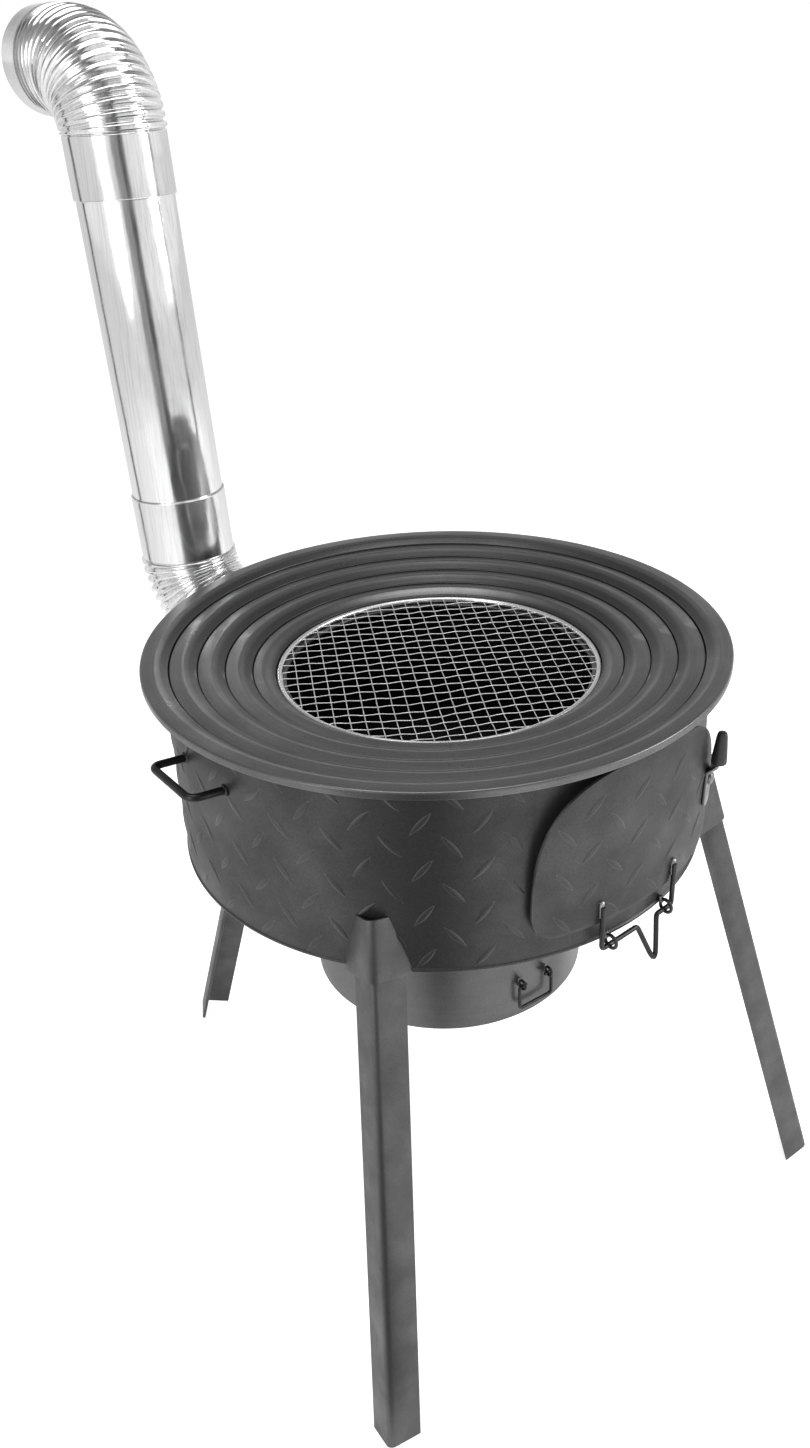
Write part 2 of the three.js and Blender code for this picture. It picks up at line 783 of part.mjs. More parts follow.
// The grill: crossed wires as a flat net with square gaps, inside a thick rim wire.
function makeGrill() {
  const top = ringTop(ringNames.length - 1) - grillDrop;
  const middle = top - grillRimWire;
  const centre = grillRadius - grillRimWire;
  const bare = centre - grillRimWire + netWire / 2;
  const rimPoints = [];
  for (let side = 0; side < grillRimSides; side++) {
    const turn = (2 * Math.PI * side) / grillRimSides;
    rimPoints.push([centre + grillRimWire * Math.cos(turn), middle + grillRimWire * Math.sin(turn)]);
  }
  const gap = netPitch - netWire;
  const rows = Math.ceil(centre / netPitch);
  const gaps = [];
  for (let row = -rows; row < rows; row++) {
    for (let column = -rows; column < rows; column++) {
      const left = column * netPitch + netWire / 2;
      const low = row * netPitch + netWire / 2;
      gaps.push(outline([[left, low], [left + gap, low], [left + gap, low + gap], [left, low + gap]]));
    }
  }
  const round = (radius, half) => solid(bar(radius, middle - half, middle + half, ringSteps));
  const cells = plate(gaps, 2 * netWire).translate(0, 0, middle - netWire).rotateZ(degToRad(netTurn));
  const net = round(centre, netWire / 2).subtract(solid(cells).intersect(round(bare, netWire)));
  return piece("mesh_grill", net.add(solid(turned(rimPoints, ringSteps))), brightWire);
}

// The flue outlet: a curved saddle on the drum's wall with a round stub.
function makeFlueOutlet() {
  const height = rimTop - flueDepth;
  const skin = drumRadius + clearance;
  const low = height - saddleRadius - overrun;
  const high = height + saddleRadius + overrun;
  const saddle = solid(tube(skin, skin + saddleSheet, low, Math.min(high, drumTop), drumSteps));
  const stub = flueBlock(flueRadius, drumRadius + stubLength).subtract(drumCutter(clearance));
  const outlet = saddle.intersect(flueBlock(saddleRadius, drumRadius + overrun)).add(stub);
  return piece("flue_outlet", outlet.subtract(flueBlock(flueRadius - flueSheet, flueReach)), darkSteel);
}

// The place, heading and radius of each ring of points along an elbow in the xz plane. It starts at
// the origin, runs straight for a sleeve, turns by an angle and runs straight for another sleeve.
function elbowStations(heading, turn, bend, firstSleeve, lastSleeve) {
  const side = Math.sign(turn);
  const start = new THREE.Vector2(Math.cos(heading), Math.sin(heading)).multiplyScalar(firstSleeve);
  const across = (angle) => new THREE.Vector2(-Math.sin(angle), Math.cos(angle)).multiplyScalar(side * bend);
  const centre = start.clone().add(across(heading));
  const along = (angle, length) => new THREE.Vector2(Math.cos(angle), Math.sin(angle)).multiplyScalar(length);
  return {
    first: (back, radius) => ({ at: start.clone().add(along(heading, -back)), heading, radius }),
    arc: (share, radius) => {
      const angle = heading + turn * share;
      return { at: centre.clone().sub(across(angle)), heading: angle, radius };
    },
    last: (ahead, radius) => {
      const angle = heading + turn;
      const end = centre.clone().sub(across(angle));
      return { at: end.add(along(angle, ahead)), heading: angle, radius };
    },
    firstSleeve,
    lastSleeve,
  };
}

// A ribbed elbow with its bore: sleeves at both ends, and ribs gathered round the bend.
function ribbedElbow(line, ribs) {
  const wall = [line.first(line.firstSleeve, sleeveRadius), line.first(0, sleeveRadius)];
  for (let rib = 0; rib < ribs; rib++) {
    wall.push(line.arc(rib / ribs, ribValley), line.arc((rib + 0.5) / ribs, ribCrest));
  }
  wall.push(line.arc(1, ribValley), line.last(0, sleeveRadius), line.last(line.lastSleeve, sleeveRadius));
  const bore = [line.first(line.firstSleeve, sleeveBore), line.first(flueSheet, sleeveBore)];
  bore.push(line.first(flueSheet, ribBore));
  for (let rib = 0; rib < ribs; rib += ribsPerBoreStep) bore.push(line.arc(rib / ribs, ribBore));
  bore.push(line.arc(1, ribBore), line.last(flueSheet, ribBore), line.last(flueSheet, sleeveBore));
  bore.push(line.last(line.lastSleeve, sleeveBore));
  return tubeOfRings([...wall, ...bore.reverse()]);
}

// A closed wall through rings of points: each ring joins the next, and the last joins the first.
function tubeOfRings(stations) {
  const places = [];
  const corners = [];
  stations.forEach(({ at, heading, radius }, ring) => {
    const next = (ring + 1) % stations.length;
    for (let step = 0; step < tubeSteps; step++) {
      const turn = (2 * Math.PI * step) / tubeSteps;
      const out = radius * Math.cos(turn);
      places.push(at.x - out * Math.sin(heading), radius * Math.sin(turn), at.y + out * Math.cos(heading));
      const ahead = (step + 1) % tubeSteps;
      const [a, b] = [ring * tubeSteps + step, ring * tubeSteps + ahead];
      const [c, d] = [next * tubeSteps + step, next * tubeSteps + ahead];
      corners.push(a, b, c, b, d, c);
    }
  });
  const geometry = new THREE.BufferGeometry();
  geometry.setAttribute("position", new THREE.Float32BufferAttribute(places, 3));
  geometry.setIndex(corners);
  return geometry;
}

// The flue, in a frame with x out of the drum and z up: the lower elbow, then the pipe and the upper
// elbow in a frame of their own, which leans.
function makeFlue() {
  const start = drumRadius + saddleSheet + 3 * clearance;
  const turn = Math.PI / 2 - degToRad(pipeLean);
  const lower = elbowStations(0, turn, lowerBend, flueReach - lowerBend - start, lowerLap);
  const upper = elbowStations(Math.PI / 2, -turn, upperBend, upperLap, endCollarLength);
  const pipe = tube(flueRadius - flueSheet, flueRadius, flueSheet + clearance,
    pipeRun - flueSheet - clearance, tubeSteps);
  const upperGeometry = ribbedElbow(upper, upperRibs).rotateZ(degToRad(upperTurn));
  upperGeometry.translate(0, 0, pipeRun - upperLap);
  const stack = new THREE.Group();
  const foot = lower.arc(1, 0).at;
  stack.position.set(start + foot.x, 0, foot.y);
  stack.rotation.y = degToRad(pipeLean);
  stack.add(piece("flue_pipe", solid(pipe), flueMetal));
  stack.add(piece("upper_elbow", solid(upperGeometry), flueMetal));
  const flue = new THREE.Group();
  flue.position.z = rimTop - flueDepth;
  flue.rotation.z = degToRad(flueAzimuth);
  flue.add(piece("lower_elbow", solid(ribbedElbow(lower, lowerRibs).translate(start, 0, 0)), flueMetal));
  flue.add(stack);
  return flue;
}

// The door and what turns with it, opened about the hinge.
function makeDoor() {
  const closed = new THREE.Group();
  closed.position.set(0, hingeOut, -hingeHeight);
  closed.add(makeDoorPlate(), makeHingeWire(), makeLever(), makeCap(), makeBolt());
  const door = new THREE.Group();
  door.position.set(0, -hingeOut, hingeHeight);
  door.rotation.x = degToRad(doorAjar);
  door.add(closed);
  return door;
}

const stove = new THREE.Group();
stove.add(makeDrum(), makeDrumFloor(), makeGrate());
stove.add(makePanCollar(), makePan(), makePanEye("pan_eye_left", -1), makePanEye("pan_eye_right", 1), makeBail());
stove.add(makeHingeEye("hinge_eye_left", -1), makeHingeEye("hinge_eye_right", 1), makeKeeper(), makeDoor());
legs.forEach((leg) => stove.add(makeSocket(leg), makeLeg(leg)));
handleNames.forEach((name, side) => stove.add(makeSideHandle(name, handleAzimuth + 180 * side)));
stove.add(makeRim());
ringNames.forEach((name, index) => stove.add(makeRing(name, index)));
stove.add(makeGrill(), makeFlueOutlet(), makeFlue());

// The part's origin is on the floor, below the middle of its whole extent.
const part = new THREE.Group();
part.add(stove);
const extent = new THREE.Box3().setFromObject(part, true);
const middle = extent.getCenter(new THREE.Vector3());
stove.position.set(-middle.x, -middle.y, -extent.min.z);

export default part;
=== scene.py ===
"""A portable wood stove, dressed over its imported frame: finished pieces, materials, studio and camera."""
import math
import random

import bmesh
import bpy
from bpy.props import FloatProperty, FloatVectorProperty, IntProperty, PointerProperty, StringProperty
from mathutils import Matrix, Vector


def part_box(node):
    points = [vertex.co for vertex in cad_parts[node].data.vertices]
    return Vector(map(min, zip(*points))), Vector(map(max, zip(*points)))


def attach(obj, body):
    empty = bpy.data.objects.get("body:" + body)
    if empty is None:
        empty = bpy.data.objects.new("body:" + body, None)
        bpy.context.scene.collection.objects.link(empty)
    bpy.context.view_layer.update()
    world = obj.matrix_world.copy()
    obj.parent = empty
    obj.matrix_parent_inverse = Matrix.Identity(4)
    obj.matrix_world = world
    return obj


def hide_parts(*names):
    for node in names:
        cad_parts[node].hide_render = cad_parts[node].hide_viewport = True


bl_info = {
    "name": "Portable wood stove",
    "version": (1, 0, 0),
    "blender": (4, 5, 0),
    "location": "3D View > Sidebar > Stove",
    "description": "Builds a portable wood stove over its packed frame",
    "category": "Object",
}

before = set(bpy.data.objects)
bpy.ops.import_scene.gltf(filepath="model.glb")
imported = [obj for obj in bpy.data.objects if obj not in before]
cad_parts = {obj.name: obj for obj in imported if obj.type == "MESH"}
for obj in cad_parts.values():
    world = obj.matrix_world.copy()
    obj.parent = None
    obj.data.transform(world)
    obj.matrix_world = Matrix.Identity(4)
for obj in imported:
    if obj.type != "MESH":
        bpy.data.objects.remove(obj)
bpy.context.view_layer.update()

# The drum's axis in the frame. Every piece is drawn about it and then moved to it.
rim_low, rim_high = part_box("top_rim")
AXIS = Vector(((rim_low.x + rim_high.x) / 2, (rim_low.y + rim_high.y) / 2, 0))

# Measures that more than one piece is drawn from, in metres.
FIRST_RING = 0.2085  # outer radius of the outermost cooking ring
RIM_STEP = 0.0047  # drop from the rim to the outermost ring, and across the innermost one
GRILL_SEAT = 0.1293  # radius of the grill's seat in the innermost ring
GRILL_DEPTH = 0.005  # depth of that seat
DOOR_HALF = 0.095  # half the door's width
DOOR_SPRING = 0.116  # depth under the rim at which the door's sides turn into its arch
DOOR_RISE = 0.109  # height of that arch
DOOR_CORNER = 0.022  # radius of the door's lower corners
DOOR_FOOT = 0.020  # height of the door's foot over the drum's lower edge
DOOR_GAP = 0.0045  # from the drum's wall to the door's outer face, at its middle
DOOR_BACK = 0.018  # how far the centre of the door's curve lies behind the drum's axis
HINGE_OUT = 0.005  # from the drum's wall out to the hinge line
HINGE_DROP = 0.0025  # from the drum's lower edge down to the hinge line

WHITE = (1, 1, 1, 1)


class StoveSizes(bpy.types.PropertyGroup):
    """Sizes of the stove, in metres and degrees."""

    rim_top: FloatProperty(
        name="Rim top", description="Height of the rim's flat band above the floor",
        default=rim_high.z, unit="LENGTH")
    rim_radius: FloatProperty(
        name="Rim radius", description="Outer radius of the top rim",
        default=(rim_high.x - rim_low.x) / 2, unit="LENGTH")
    drum_radius: FloatProperty(
        name="Drum radius", description="Outer radius of the firebox wall", default=0.2136, unit="LENGTH")
    drum_bottom: FloatProperty(
        name="Drum bottom", description="Height of the drum's lower edge above the floor",
        default=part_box("firebox_drum")[0].z, unit="LENGTH")
    sheet: FloatProperty(
        name="Sheet", description="Thickness of the drum, rim and door sheet", default=0.002, unit="LENGTH")
    ring_sheet: FloatProperty(
        name="Ring sheet", description="Thickness of the pressed cooking rings",
        default=0.0025, unit="LENGTH")
    ring_pitch: FloatProperty(
        name="Ring pitch", description="Step in radius from one cooking ring to the next",
        default=0.0208, unit="LENGTH")
    ring_drop: FloatProperty(
        name="Ring drop", description="Step in height from one cooking ring to the next",
        default=0.004, unit="LENGTH")
    door_ajar: FloatProperty(
        name="Door ajar", description="Angle that the fuel door stands open at rest",
        default=math.radians(3), subtype="ANGLE")
    mark_length: FloatProperty(
        name="Tread mark length", description="Length of one raised mark of the tread plate",
        default=0.024, unit="LENGTH")
    mark_height: FloatProperty(
        name="Tread mark height", description="How far a mark stands above the plate",
        default=0.0008, unit="LENGTH")
    net_pitch: FloatProperty(
        name="Net pitch", description="Spacing of the grill's crossed wires", default=0.0113, unit="LENGTH")
    net_wire: FloatProperty(
        name="Net wire", description="Thickness of the grill's crossed wires", default=0.0009, unit="LENGTH")
    lower_ribs: IntProperty(
        name="Lower ribs", description="Ribs round the lower elbow", default=14, min=4, max=40)
    upper_ribs: IntProperty(
        name="Upper ribs", description="Ribs round the upper elbow", default=15, min=4, max=40)


class StoveColours(bpy.types.PropertyGroup):
    """Colours of the stove's finishes, as sRGB hex."""

    tread_plate: StringProperty(
        name="Tread plate", description="Hot-rolled steel of the drum and the door", default="#505050")
    rings: StringProperty(
        name="Rings", description="Pressed steel of the rim and the cooking rings", default="#747474")
    legs: StringProperty(
        name="Legs", description="Steel angle of the legs and sockets", default="#5a5a5a")
    pan: StringProperty(
        name="Pan", description="Rolled sheet of the ash pan", default="#717171")
    wire: StringProperty(
        name="Wire", description="Drawn wire of hinges, eyes and handles", default="#404040")
    grill: StringProperty(
        name="Grill", description="Galvanised wire of the grill", default="#ececec")
    flue: StringProperty(
        name="Flue", description="Rolled aluminium of the flue", default="#f0f0f0")
    plated: StringProperty(
        name="Plated", description="Zinc-plated latch lever and bolt", default="#8c8c8c")
    soot: StringProperty(
        name="Soot", description="Blackened inside of the firebox", default="#0c0c0c")
    iron: StringProperty(
        name="Iron", description="Cast iron of the fire grate", default="#222222")
    grip: StringProperty(
        name="Grip", description="Phenolic plastic of the latch's cap", default="#1d1d1d")


class StoveStudio(bpy.types.PropertyGroup):
    """Camera and light."""

    camera_place: FloatVectorProperty(
        name="Camera place", description="Where the camera stands, from the drum's axis on the floor",
        default=(-0.6195, -0.7272, 0.9942), subtype="XYZ", unit="LENGTH")
    camera_azimuth: FloatProperty(
        name="Camera azimuth", description="Direction that the camera looks along, from +X",
        default=math.radians(46.4), subtype="ANGLE")
    camera_drop: FloatProperty(
        name="Camera drop", description="Angle that the camera looks down",
        default=0.5448, subtype="ANGLE")
    camera_roll: FloatProperty(
        name="Camera roll", description="Turn of the camera about its view", default=math.radians(-0.43),
        subtype="ANGLE")
    lens: FloatProperty(
        name="Lens", description="Focal length for a 36 mm frame height", default=33.232)
    world_light: FloatProperty(
        name="World light", description="Strength of the light from all round", default=0.42, min=0)
    key_light: FloatProperty(
        name="Key light", description="Power of the main soft lamp, in watts", default=26, min=0)
    mirror_glow: FloatProperty(
        name="Mirror glow", description="Share of the floor's glow that bright metal mirrors",
        default=0.45, min=0)
    floor_glow: FloatProperty(
        name="Floor glow", description="How far the floor is lifted towards white", default=0.75, min=0)


def sizes():
    return bpy.context.scene.stove_sizes


# Drawing


def joined(*parts):
    """Several (points, faces) parts as one."""
    points, faces = [], []
    for more_points, more_faces in parts:
        start = len(points)
        points += [Vector(p) for p in more_points]
        faces += [tuple(i + start for i in face) for face in more_faces]
    return points, faces


def rounded_corner(back, here, ahead, radius, steps):
    """Points of a curve that rounds a corner, from the two sides that leave it."""
    reach = min(radius / math.tan(back.angle(ahead) / 2), 0.48 * back.length, 0.48 * ahead.length)
    start, end = here + back.normalized() * reach, here + ahead.normalized() * reach
    shares = [step / steps for step in range(steps + 1)]
    return [start * (1 - share) ** 2 + here * 2 * share * (1 - share) + end * share ** 2 for share in shares]


def filleted(corners, radius, steps=5):
    """A closed outline with each corner rounded. A corner may carry its own radius as a third value."""
    rounded = []
    for i, corner in enumerate(corners):
        here = Vector(corner[:2])
        own = corner[2] if len(corner) > 2 else radius
        back = Vector(corners[i - 1][:2]) - here
        ahead = Vector(corners[(i + 1) % len(corners)][:2]) - here
        if own <= 0 or back.angle(ahead) > math.pi - 0.01:
            rounded.append(here)
        else:
            rounded += rounded_corner(back, here, ahead, own, steps)
    return rounded


def lathe(outline, steps):
    """A closed outline of (radius, height) turned about the z axis."""
    points, rings = [], []
    for radius, height in outline:
        if radius < 1e-7:
            rings.append([len(points)] * steps)
            points.append(Vector((0, 0, height)))
            continue
        rings.append(list(range(len(points), len(points) + steps)))
        for step in range(steps):
            turn = math.tau * step / steps
            points.append(Vector((radius * math.cos(turn), radius * math.sin(turn), height)))
    faces = []
    for ring, after in zip(rings, rings[1:] + rings[:1]):
        for step in range(steps):
            ahead = (step + 1) % steps
            corners = [ring[step], ring[ahead], after[ahead], after[step]]
            face = tuple(dict.fromkeys(corners))
            if len(face) > 2:
                faces.append(face)
    return points, faces


def solid_lathe(outline, radius, steps):
    """A turned solid, from an outline that starts and ends on the axis and is rounded between."""
    return lathe([outline[0]] + filleted(outline, radius)[1:-1] + [outline[-1]], steps)


def sweep(path, radius, sides=14, ring=False, dome=0.35):
    """A round rod along a path: a closed ring, or a rod whose ends are domed by a share of its radius."""
    path = [Vector(place) for place in path]
    last = len(path) - 1
    tangents = []
    for i in range(len(path)):
        before = path[i - 1] if ring or i else path[i]
        after = path[(i + 1) % len(path)] if ring or i < last else path[i]
        tangents.append((after - before).normalized())
    normal = tangents[0].orthogonal().normalized()
    stations = []
    for i, (place, tangent) in enumerate(zip(path, tangents)):
        if i:
            normal = tangents[i - 1].rotation_difference(tangent) @ normal
        normal = (normal - tangent * normal.dot(tangent)).normalized()
        stations.append((place, normal.copy(), tangent.cross(normal), radius))
    if not ring:
        ends = []
        for place, tangent, (_, across, up, _) in (
                (path[0], -tangents[0], stations[0]), (path[-1], tangents[-1], stations[-1])):
            ends.append([
                (place + tangent * dome * radius * math.sin(turn), across, up, radius * math.cos(turn))
                for turn in (0.5, 1.0, 1.35)])
        stations = ends[0][::-1] + stations + ends[1]
    points = []
    for place, across, up, thickness in stations:
        for side in range(sides):
            turn = math.tau * side / sides
            points.append(place + (across * math.cos(turn) + up * math.sin(turn)) * thickness)
    faces = []
    count = len(stations)
    for i in range(count if ring else count - 1):
        after = (i + 1) % count
        for side in range(sides):
            ahead = (side + 1) % sides
            faces.append((i * sides + side, i * sides + ahead, after * sides + ahead, after * sides + side))
    if not ring:
        faces.append(tuple(range(sides))[::-1])
        faces.append(tuple(range((count - 1) * sides, count * sides)))
    return points, faces


def bent(corners, bend, steps=6):
    """A path through corners, with each inner corner rounded to a bend."""
    corners = [Vector(corner) for corner in corners]
    path = [corners[0]]
    for before, here, after in zip(corners, corners[1:], corners[2:]):
        path += rounded_corner(before - here, here, after - here, bend, steps)
    path.append(corners[-1])
    return path


def loop(centre, across, up, radius, steps=28):
    """Points of a circle."""
    return [centre + (across * math.cos(math.tau * i / steps) + up * math.sin(math.tau * i / steps)) * radius
            for i in range(steps)]


def weld_bead(path, radius, seed):
    """A short lumpy bead of weld along a path."""
    chance = random.Random(seed)
    points, faces = sweep(path, radius, sides=10, dome=0.8)
    centre = sum(points, Vector()) / len(points)
    lumps = [Vector(place) for place in path]
    for point in points:
        near = min(lumps, key=lambda place: (place - point).length)
        ripple = 1 + 0.16 * math.sin((point - centre).length / radius * 5) + chance.uniform(-0.07, 0.07)
        point.xyz = near + (point - near) * ripple
    return points, faces


def moved(part, matrix):
    """A (points, faces) part, placed by a matrix."""
    points, faces = part
    return [matrix @ Vector(p) for p in points], faces


def cleaned(mesh, reach, outwards=False, flat=False):
    """A mesh with points within a reach joined, and its faces turned outwards or its flat ones joined."""
    body = bmesh.new()
    body.from_mesh(mesh)
    bmesh.ops.remove_doubles(body, verts=body.verts, dist=reach)
    if outwards:
        bmesh.ops.recalc_face_normals(body, faces=body.faces)
    if flat:
        bmesh.ops.dissolve_limit(body, angle_limit=math.radians(0.5), verts=body.verts, edges=body.edges)
    body.to_mesh(mesh)
    body.free()
    return mesh


def mesh_of(part):
    """A mesh of a closed (points, faces) part, in place about the drum's axis, with its faces outwards."""
    points, faces = part
    mesh = bpy.data.meshes.new("drawn")
    mesh.from_pydata([p + AXIS for p in map(Vector, points)], [], faces)
    return cleaned(mesh, 1e-7, outwards=True)


def merged_copy(node):
    """The mesh of a CAD node, copied and with its loose triangles joined."""
    return cleaned(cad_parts[node].data.copy(), 1e-6, flat=True)


def bevel(width, angle):
    """A modifier that eases edges sharper than an angle in degrees."""
    settings = {"width": width, "segments": 2, "limit_method": "ANGLE", "angle_limit": math.radians(angle)}
    return "BEVEL", settings


def finished(mesh, *modifiers):
    """A mesh after modifiers, each given as (kind, settings)."""
    holder = bpy.data.objects.new("holder", mesh)
    bpy.context.scene.collection.objects.link(holder)
    for kind, settings in modifiers:
        modifier = holder.modifiers.new(kind.lower(), kind)
        for name, value in settings.items():
            setattr(modifier, name, value)
    return evaluated(holder)


def evaluated(holder):
    """The plain mesh that an object's modifiers give. The object itself is then removed."""
    graph = bpy.context.evaluated_depsgraph_get()
    graph.update()
    made = bpy.data.meshes.new_from_object(holder.evaluated_get(graph), depsgraph=graph)
    bpy.data.objects.remove(holder)
    return made


def add_piece(name, mesh, body, slot, *finishes, replaced=(), sharp=32):
    """A finished piece: its finishes, smooth faces with sharp edges, body and the CAD nodes it stands for."""
    mesh.materials.clear()
    for finish in finishes:
        mesh.materials.append(finish)
    mesh.polygons.foreach_set("use_smooth", [True] * len(mesh.polygons))
    mesh.set_sharp_from_angle(angle=math.radians(sharp))
    mesh.name = name
    piece = bpy.data.objects.new(name, mesh)
    bpy.context.scene.collection.objects.link(piece)
    if replaced:
        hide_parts(*replaced)
    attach(piece, body)
    return piece


def dress(node, finish):
    """A material for a CAD node that is shown as it is."""
    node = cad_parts[node]
    if not node.material_slots:
        node.data.materials.append(finish)
    for slot in node.material_slots:
        slot.material = finish


# Node trees


class Value:
    """A socket of a node tree. Sums on it grow math nodes."""

    def __init__(self, tree, socket):
        self.tree = tree
        self.socket = socket

    def math(self, operation, *others):
        return grow_sum(self.tree, operation, self, *others)

    def vector(self, operation, *others):
        """Vector math on this value. A length or a distance comes out as a number."""
        settings = {"operation": operation} | dict(enumerate((self, *others)))
        output = 1 if operation in ("LENGTH", "DISTANCE") else 0
        return add_node(self.tree, "ShaderNodeVectorMath", settings, output)

    def scaled(self, factor):
        return add_node(self.tree, "ShaderNodeVectorMath", {"operation": "SCALE", 0: self, "Scale": factor})

    def split(self):
        """The x, y and z of this vector."""
        node = self.tree.nodes.new("ShaderNodeSeparateXYZ")
        self.tree.links.new(self.socket, node.inputs[0])
        return [Value(self.tree, socket) for socket in node.outputs]

    def __add__(self, other):
        return self.math("ADD", other)

    def __sub__(self, other):
        return self.math("SUBTRACT", other)

    def __rsub__(self, other):
        return grow_sum(self.tree, "SUBTRACT", other, self)

    def __mul__(self, other):
        return self.math("MULTIPLY", other)

    def __truediv__(self, other):
        return self.math("DIVIDE", other)

    def __pow__(self, other):
        return self.math("POWER", other)

    def __lt__(self, other):
        return self.math("LESS_THAN", other)

    def __gt__(self, other):
        return self.math("GREATER_THAN", other)

    def __abs__(self):
        return self.math("ABSOLUTE")


def grow_sum(tree, operation, *values):
    """A math node on values or plain numbers."""
    return add_node(tree, "ShaderNodeMath", {"operation": operation} | dict(enumerate(values)))


def add_node(tree, kind, settings=None, output=0):
    """A node's output. Its settings are the node's properties, or inputs with a value or what feeds them."""
    node = tree.nodes.new(kind)
    inputs = {}
    for name, value in (settings or {}).items():
        if isinstance(name, str) and hasattr(node, name):
            setattr(node, name, value)
        else:
            inputs[name] = value
    for name, value in inputs.items():
        if isinstance(value, Value):
            tree.links.new(value.socket, node.inputs[name])
        else:
            node.inputs[name].default_value = value
    return Value(tree, node.outputs[output]) if len(node.outputs) else None


def vector_of(tree, x=0.0, y=0.0, z=0.0):
    """A vector from its three parts."""
    return add_node(tree, "ShaderNodeCombineXYZ", {0: x, 1: y, 2: z})


def ramp(source, stops):
    """A colour ramp over (place, colour) stops."""
    shades = add_node(source.tree, "ShaderNodeValToRGB", {"Fac": source})
    elements = shades.socket.node.color_ramp.elements
    for place, colour in stops:
        elements.new(place).color = colour
    elements.remove(elements[0])
    elements.remove(elements[-1])
    return shades


def spread(source, low, high, start=0.35, end=0.65):
    """A value between low and high where a noise runs from start to end."""
    return add_node(source.tree, "ShaderNodeMapRange", {
        "Value": source, "From Min": start, "From Max": end, "To Min": low, "To Max": high})


# Materials


def linear(colour, shade=1.0):
    """An sRGB hex colour as linear RGBA, darker or lighter by a shade."""
    channels = []
    for i in (0, 2, 4):
        value = int(colour.lstrip("#")[i:i + 2], 16) / 255
        value = value / 12.92 if value <= 0.04045 else ((value + 0.055) / 1.055) ** 2.4
        channels.append(min(1, value * shade))
    return (*channels, 1)


def per_mm(size):
    """Noise scale on Object coordinates that gives features of a size in millimetres."""
    return 1000 / size


def new_material(name):
    """A material with an empty node tree."""
    made = bpy.data.materials.new(name)
    made.use_nodes = True
    made.node_tree.nodes.clear()
    return made


def end_material(tree, **inputs):
    """Ends a material's tree in a principled shader, with an underscore for each space in an input's name."""
    shader = add_node(tree, "ShaderNodeBsdfPrincipled", {
        name.replace("_", " "): value for name, value in inputs.items()})
    add_node(tree, "ShaderNodeOutputMaterial", {"Surface": shader})


def object_place(tree):
    """Object coordinates from the drum's axis."""
    coordinates = add_node(tree, "ShaderNodeTexCoord", output="Object")
    return add_node(tree, "ShaderNodeMapping", {"Location": tuple(-AXIS), "Vector": coordinates})


def noise(place, scale, detail, roughness=0.5):
    """Cloudy noise between 0 and 1."""
    return add_node(place.tree, "ShaderNodeTexNoise", {
        "Vector": place, "Scale": scale, "Detail": detail, "Roughness": roughness})


def raised(pattern, depth, normal=None, strength=1.0):
    """The normal of a surface that a pattern raises by a depth in metres, over another normal."""
    settings = {"Height": pattern, "Distance": depth, "Strength": strength}
    if normal is not None:
        settings["Normal"] = normal
    return add_node(pattern.tree, "ShaderNodeBump", settings)


def axis_distance(place):
    """How far a place is from the drum's axis."""
    return place.vector("MULTIPLY", (1, 1, 0)).vector("LENGTH")


def round_place(place, along_mm, across_mm):
    """Coordinates that follow circles about the drum's axis: long round it, short across it."""
    usual_radius = 0.2
    x, y, z = place.split()
    turn = y.math("ARCTAN2", x)
    across = per_mm(across_mm)
    along = usual_radius * per_mm(along_mm)
    return vector_of(place.tree, turn * along, axis_distance(place) * across, z * across)


def worked_metal(name, colour, patch_mm=40, contrast=0.3, grain_mm=1.2, grain_depth=0.00004,
                 roughness=(0.35, 0.5), metallic=0.8, streak=None, edge_wear_and_highlight=0.5, dent_mm=60, dent_depth=0.0004,
                 steps=None):
    """Worked sheet or bar: cloudy patches, fine grain, shallow unevenness and edges lightened partly by wear
    and partly as a painted highlight. Round the drum's axis it may have streaks, and painted shade that
    darkens the slope of each step."""
    tree = new_material(name).node_tree
    place = object_place(tree)
    cloud = noise(place, per_mm(patch_mm), 5, 0.6)
    grain = noise(place, per_mm(grain_mm), 3, 0.6)
    colours = ramp(cloud, [
        (0.3, linear(colour, 1 - contrast)), (0.52, linear(colour)), (0.72, linear(colour, 1 + contrast))])
    speckle_and_step_shade = spread(grain, 0.88, 1.1)
    if streak:
        along_mm, across_mm, depth = streak
        lines = noise(round_place(place, along_mm, across_mm), 1, 4, 0.65)
        speckle_and_step_shade *= spread(lines, 1 - depth, 1 + depth)
    if steps:
        # Painted shade: the slope of each step is darkened to half. The share is held past the rim's slope,
        # so that the flat rim is left unshaded.
        first, pitch = steps
        out = axis_distance(place).math("MINIMUM", first + 0.48 * pitch)
        share = ((first - out) / pitch).math("FRACT")
        speckle_and_step_shade *= spread(share, 1.0, 0.5, 0.58, 0.74)
    # Convex edges are mixed towards a lighter copy of the colour: partly wear, partly a painted highlight.
    worn_and_highlit_edges = spread(add_node(tree, "ShaderNodeNewGeometry", output="Pointiness"), 0, edge_wear_and_highlight, 0.52, 0.6)
    base = add_node(tree, "ShaderNodeMix", {
        "data_type": "RGBA", "blend_type": "MIX", 0: worn_and_highlit_edges, 6: colours.scaled(speckle_and_step_shade),
        7: linear(colour, 2.2)}, 2)
    dents = noise(place, per_mm(dent_mm), 1)
    smooth, rough = roughness
    end_material(tree, Metallic=metallic, Base_Color=base, Roughness=spread(cloud, rough, smooth),
                 Normal=raised(dents, dent_depth, raised(grain, grain_depth)))


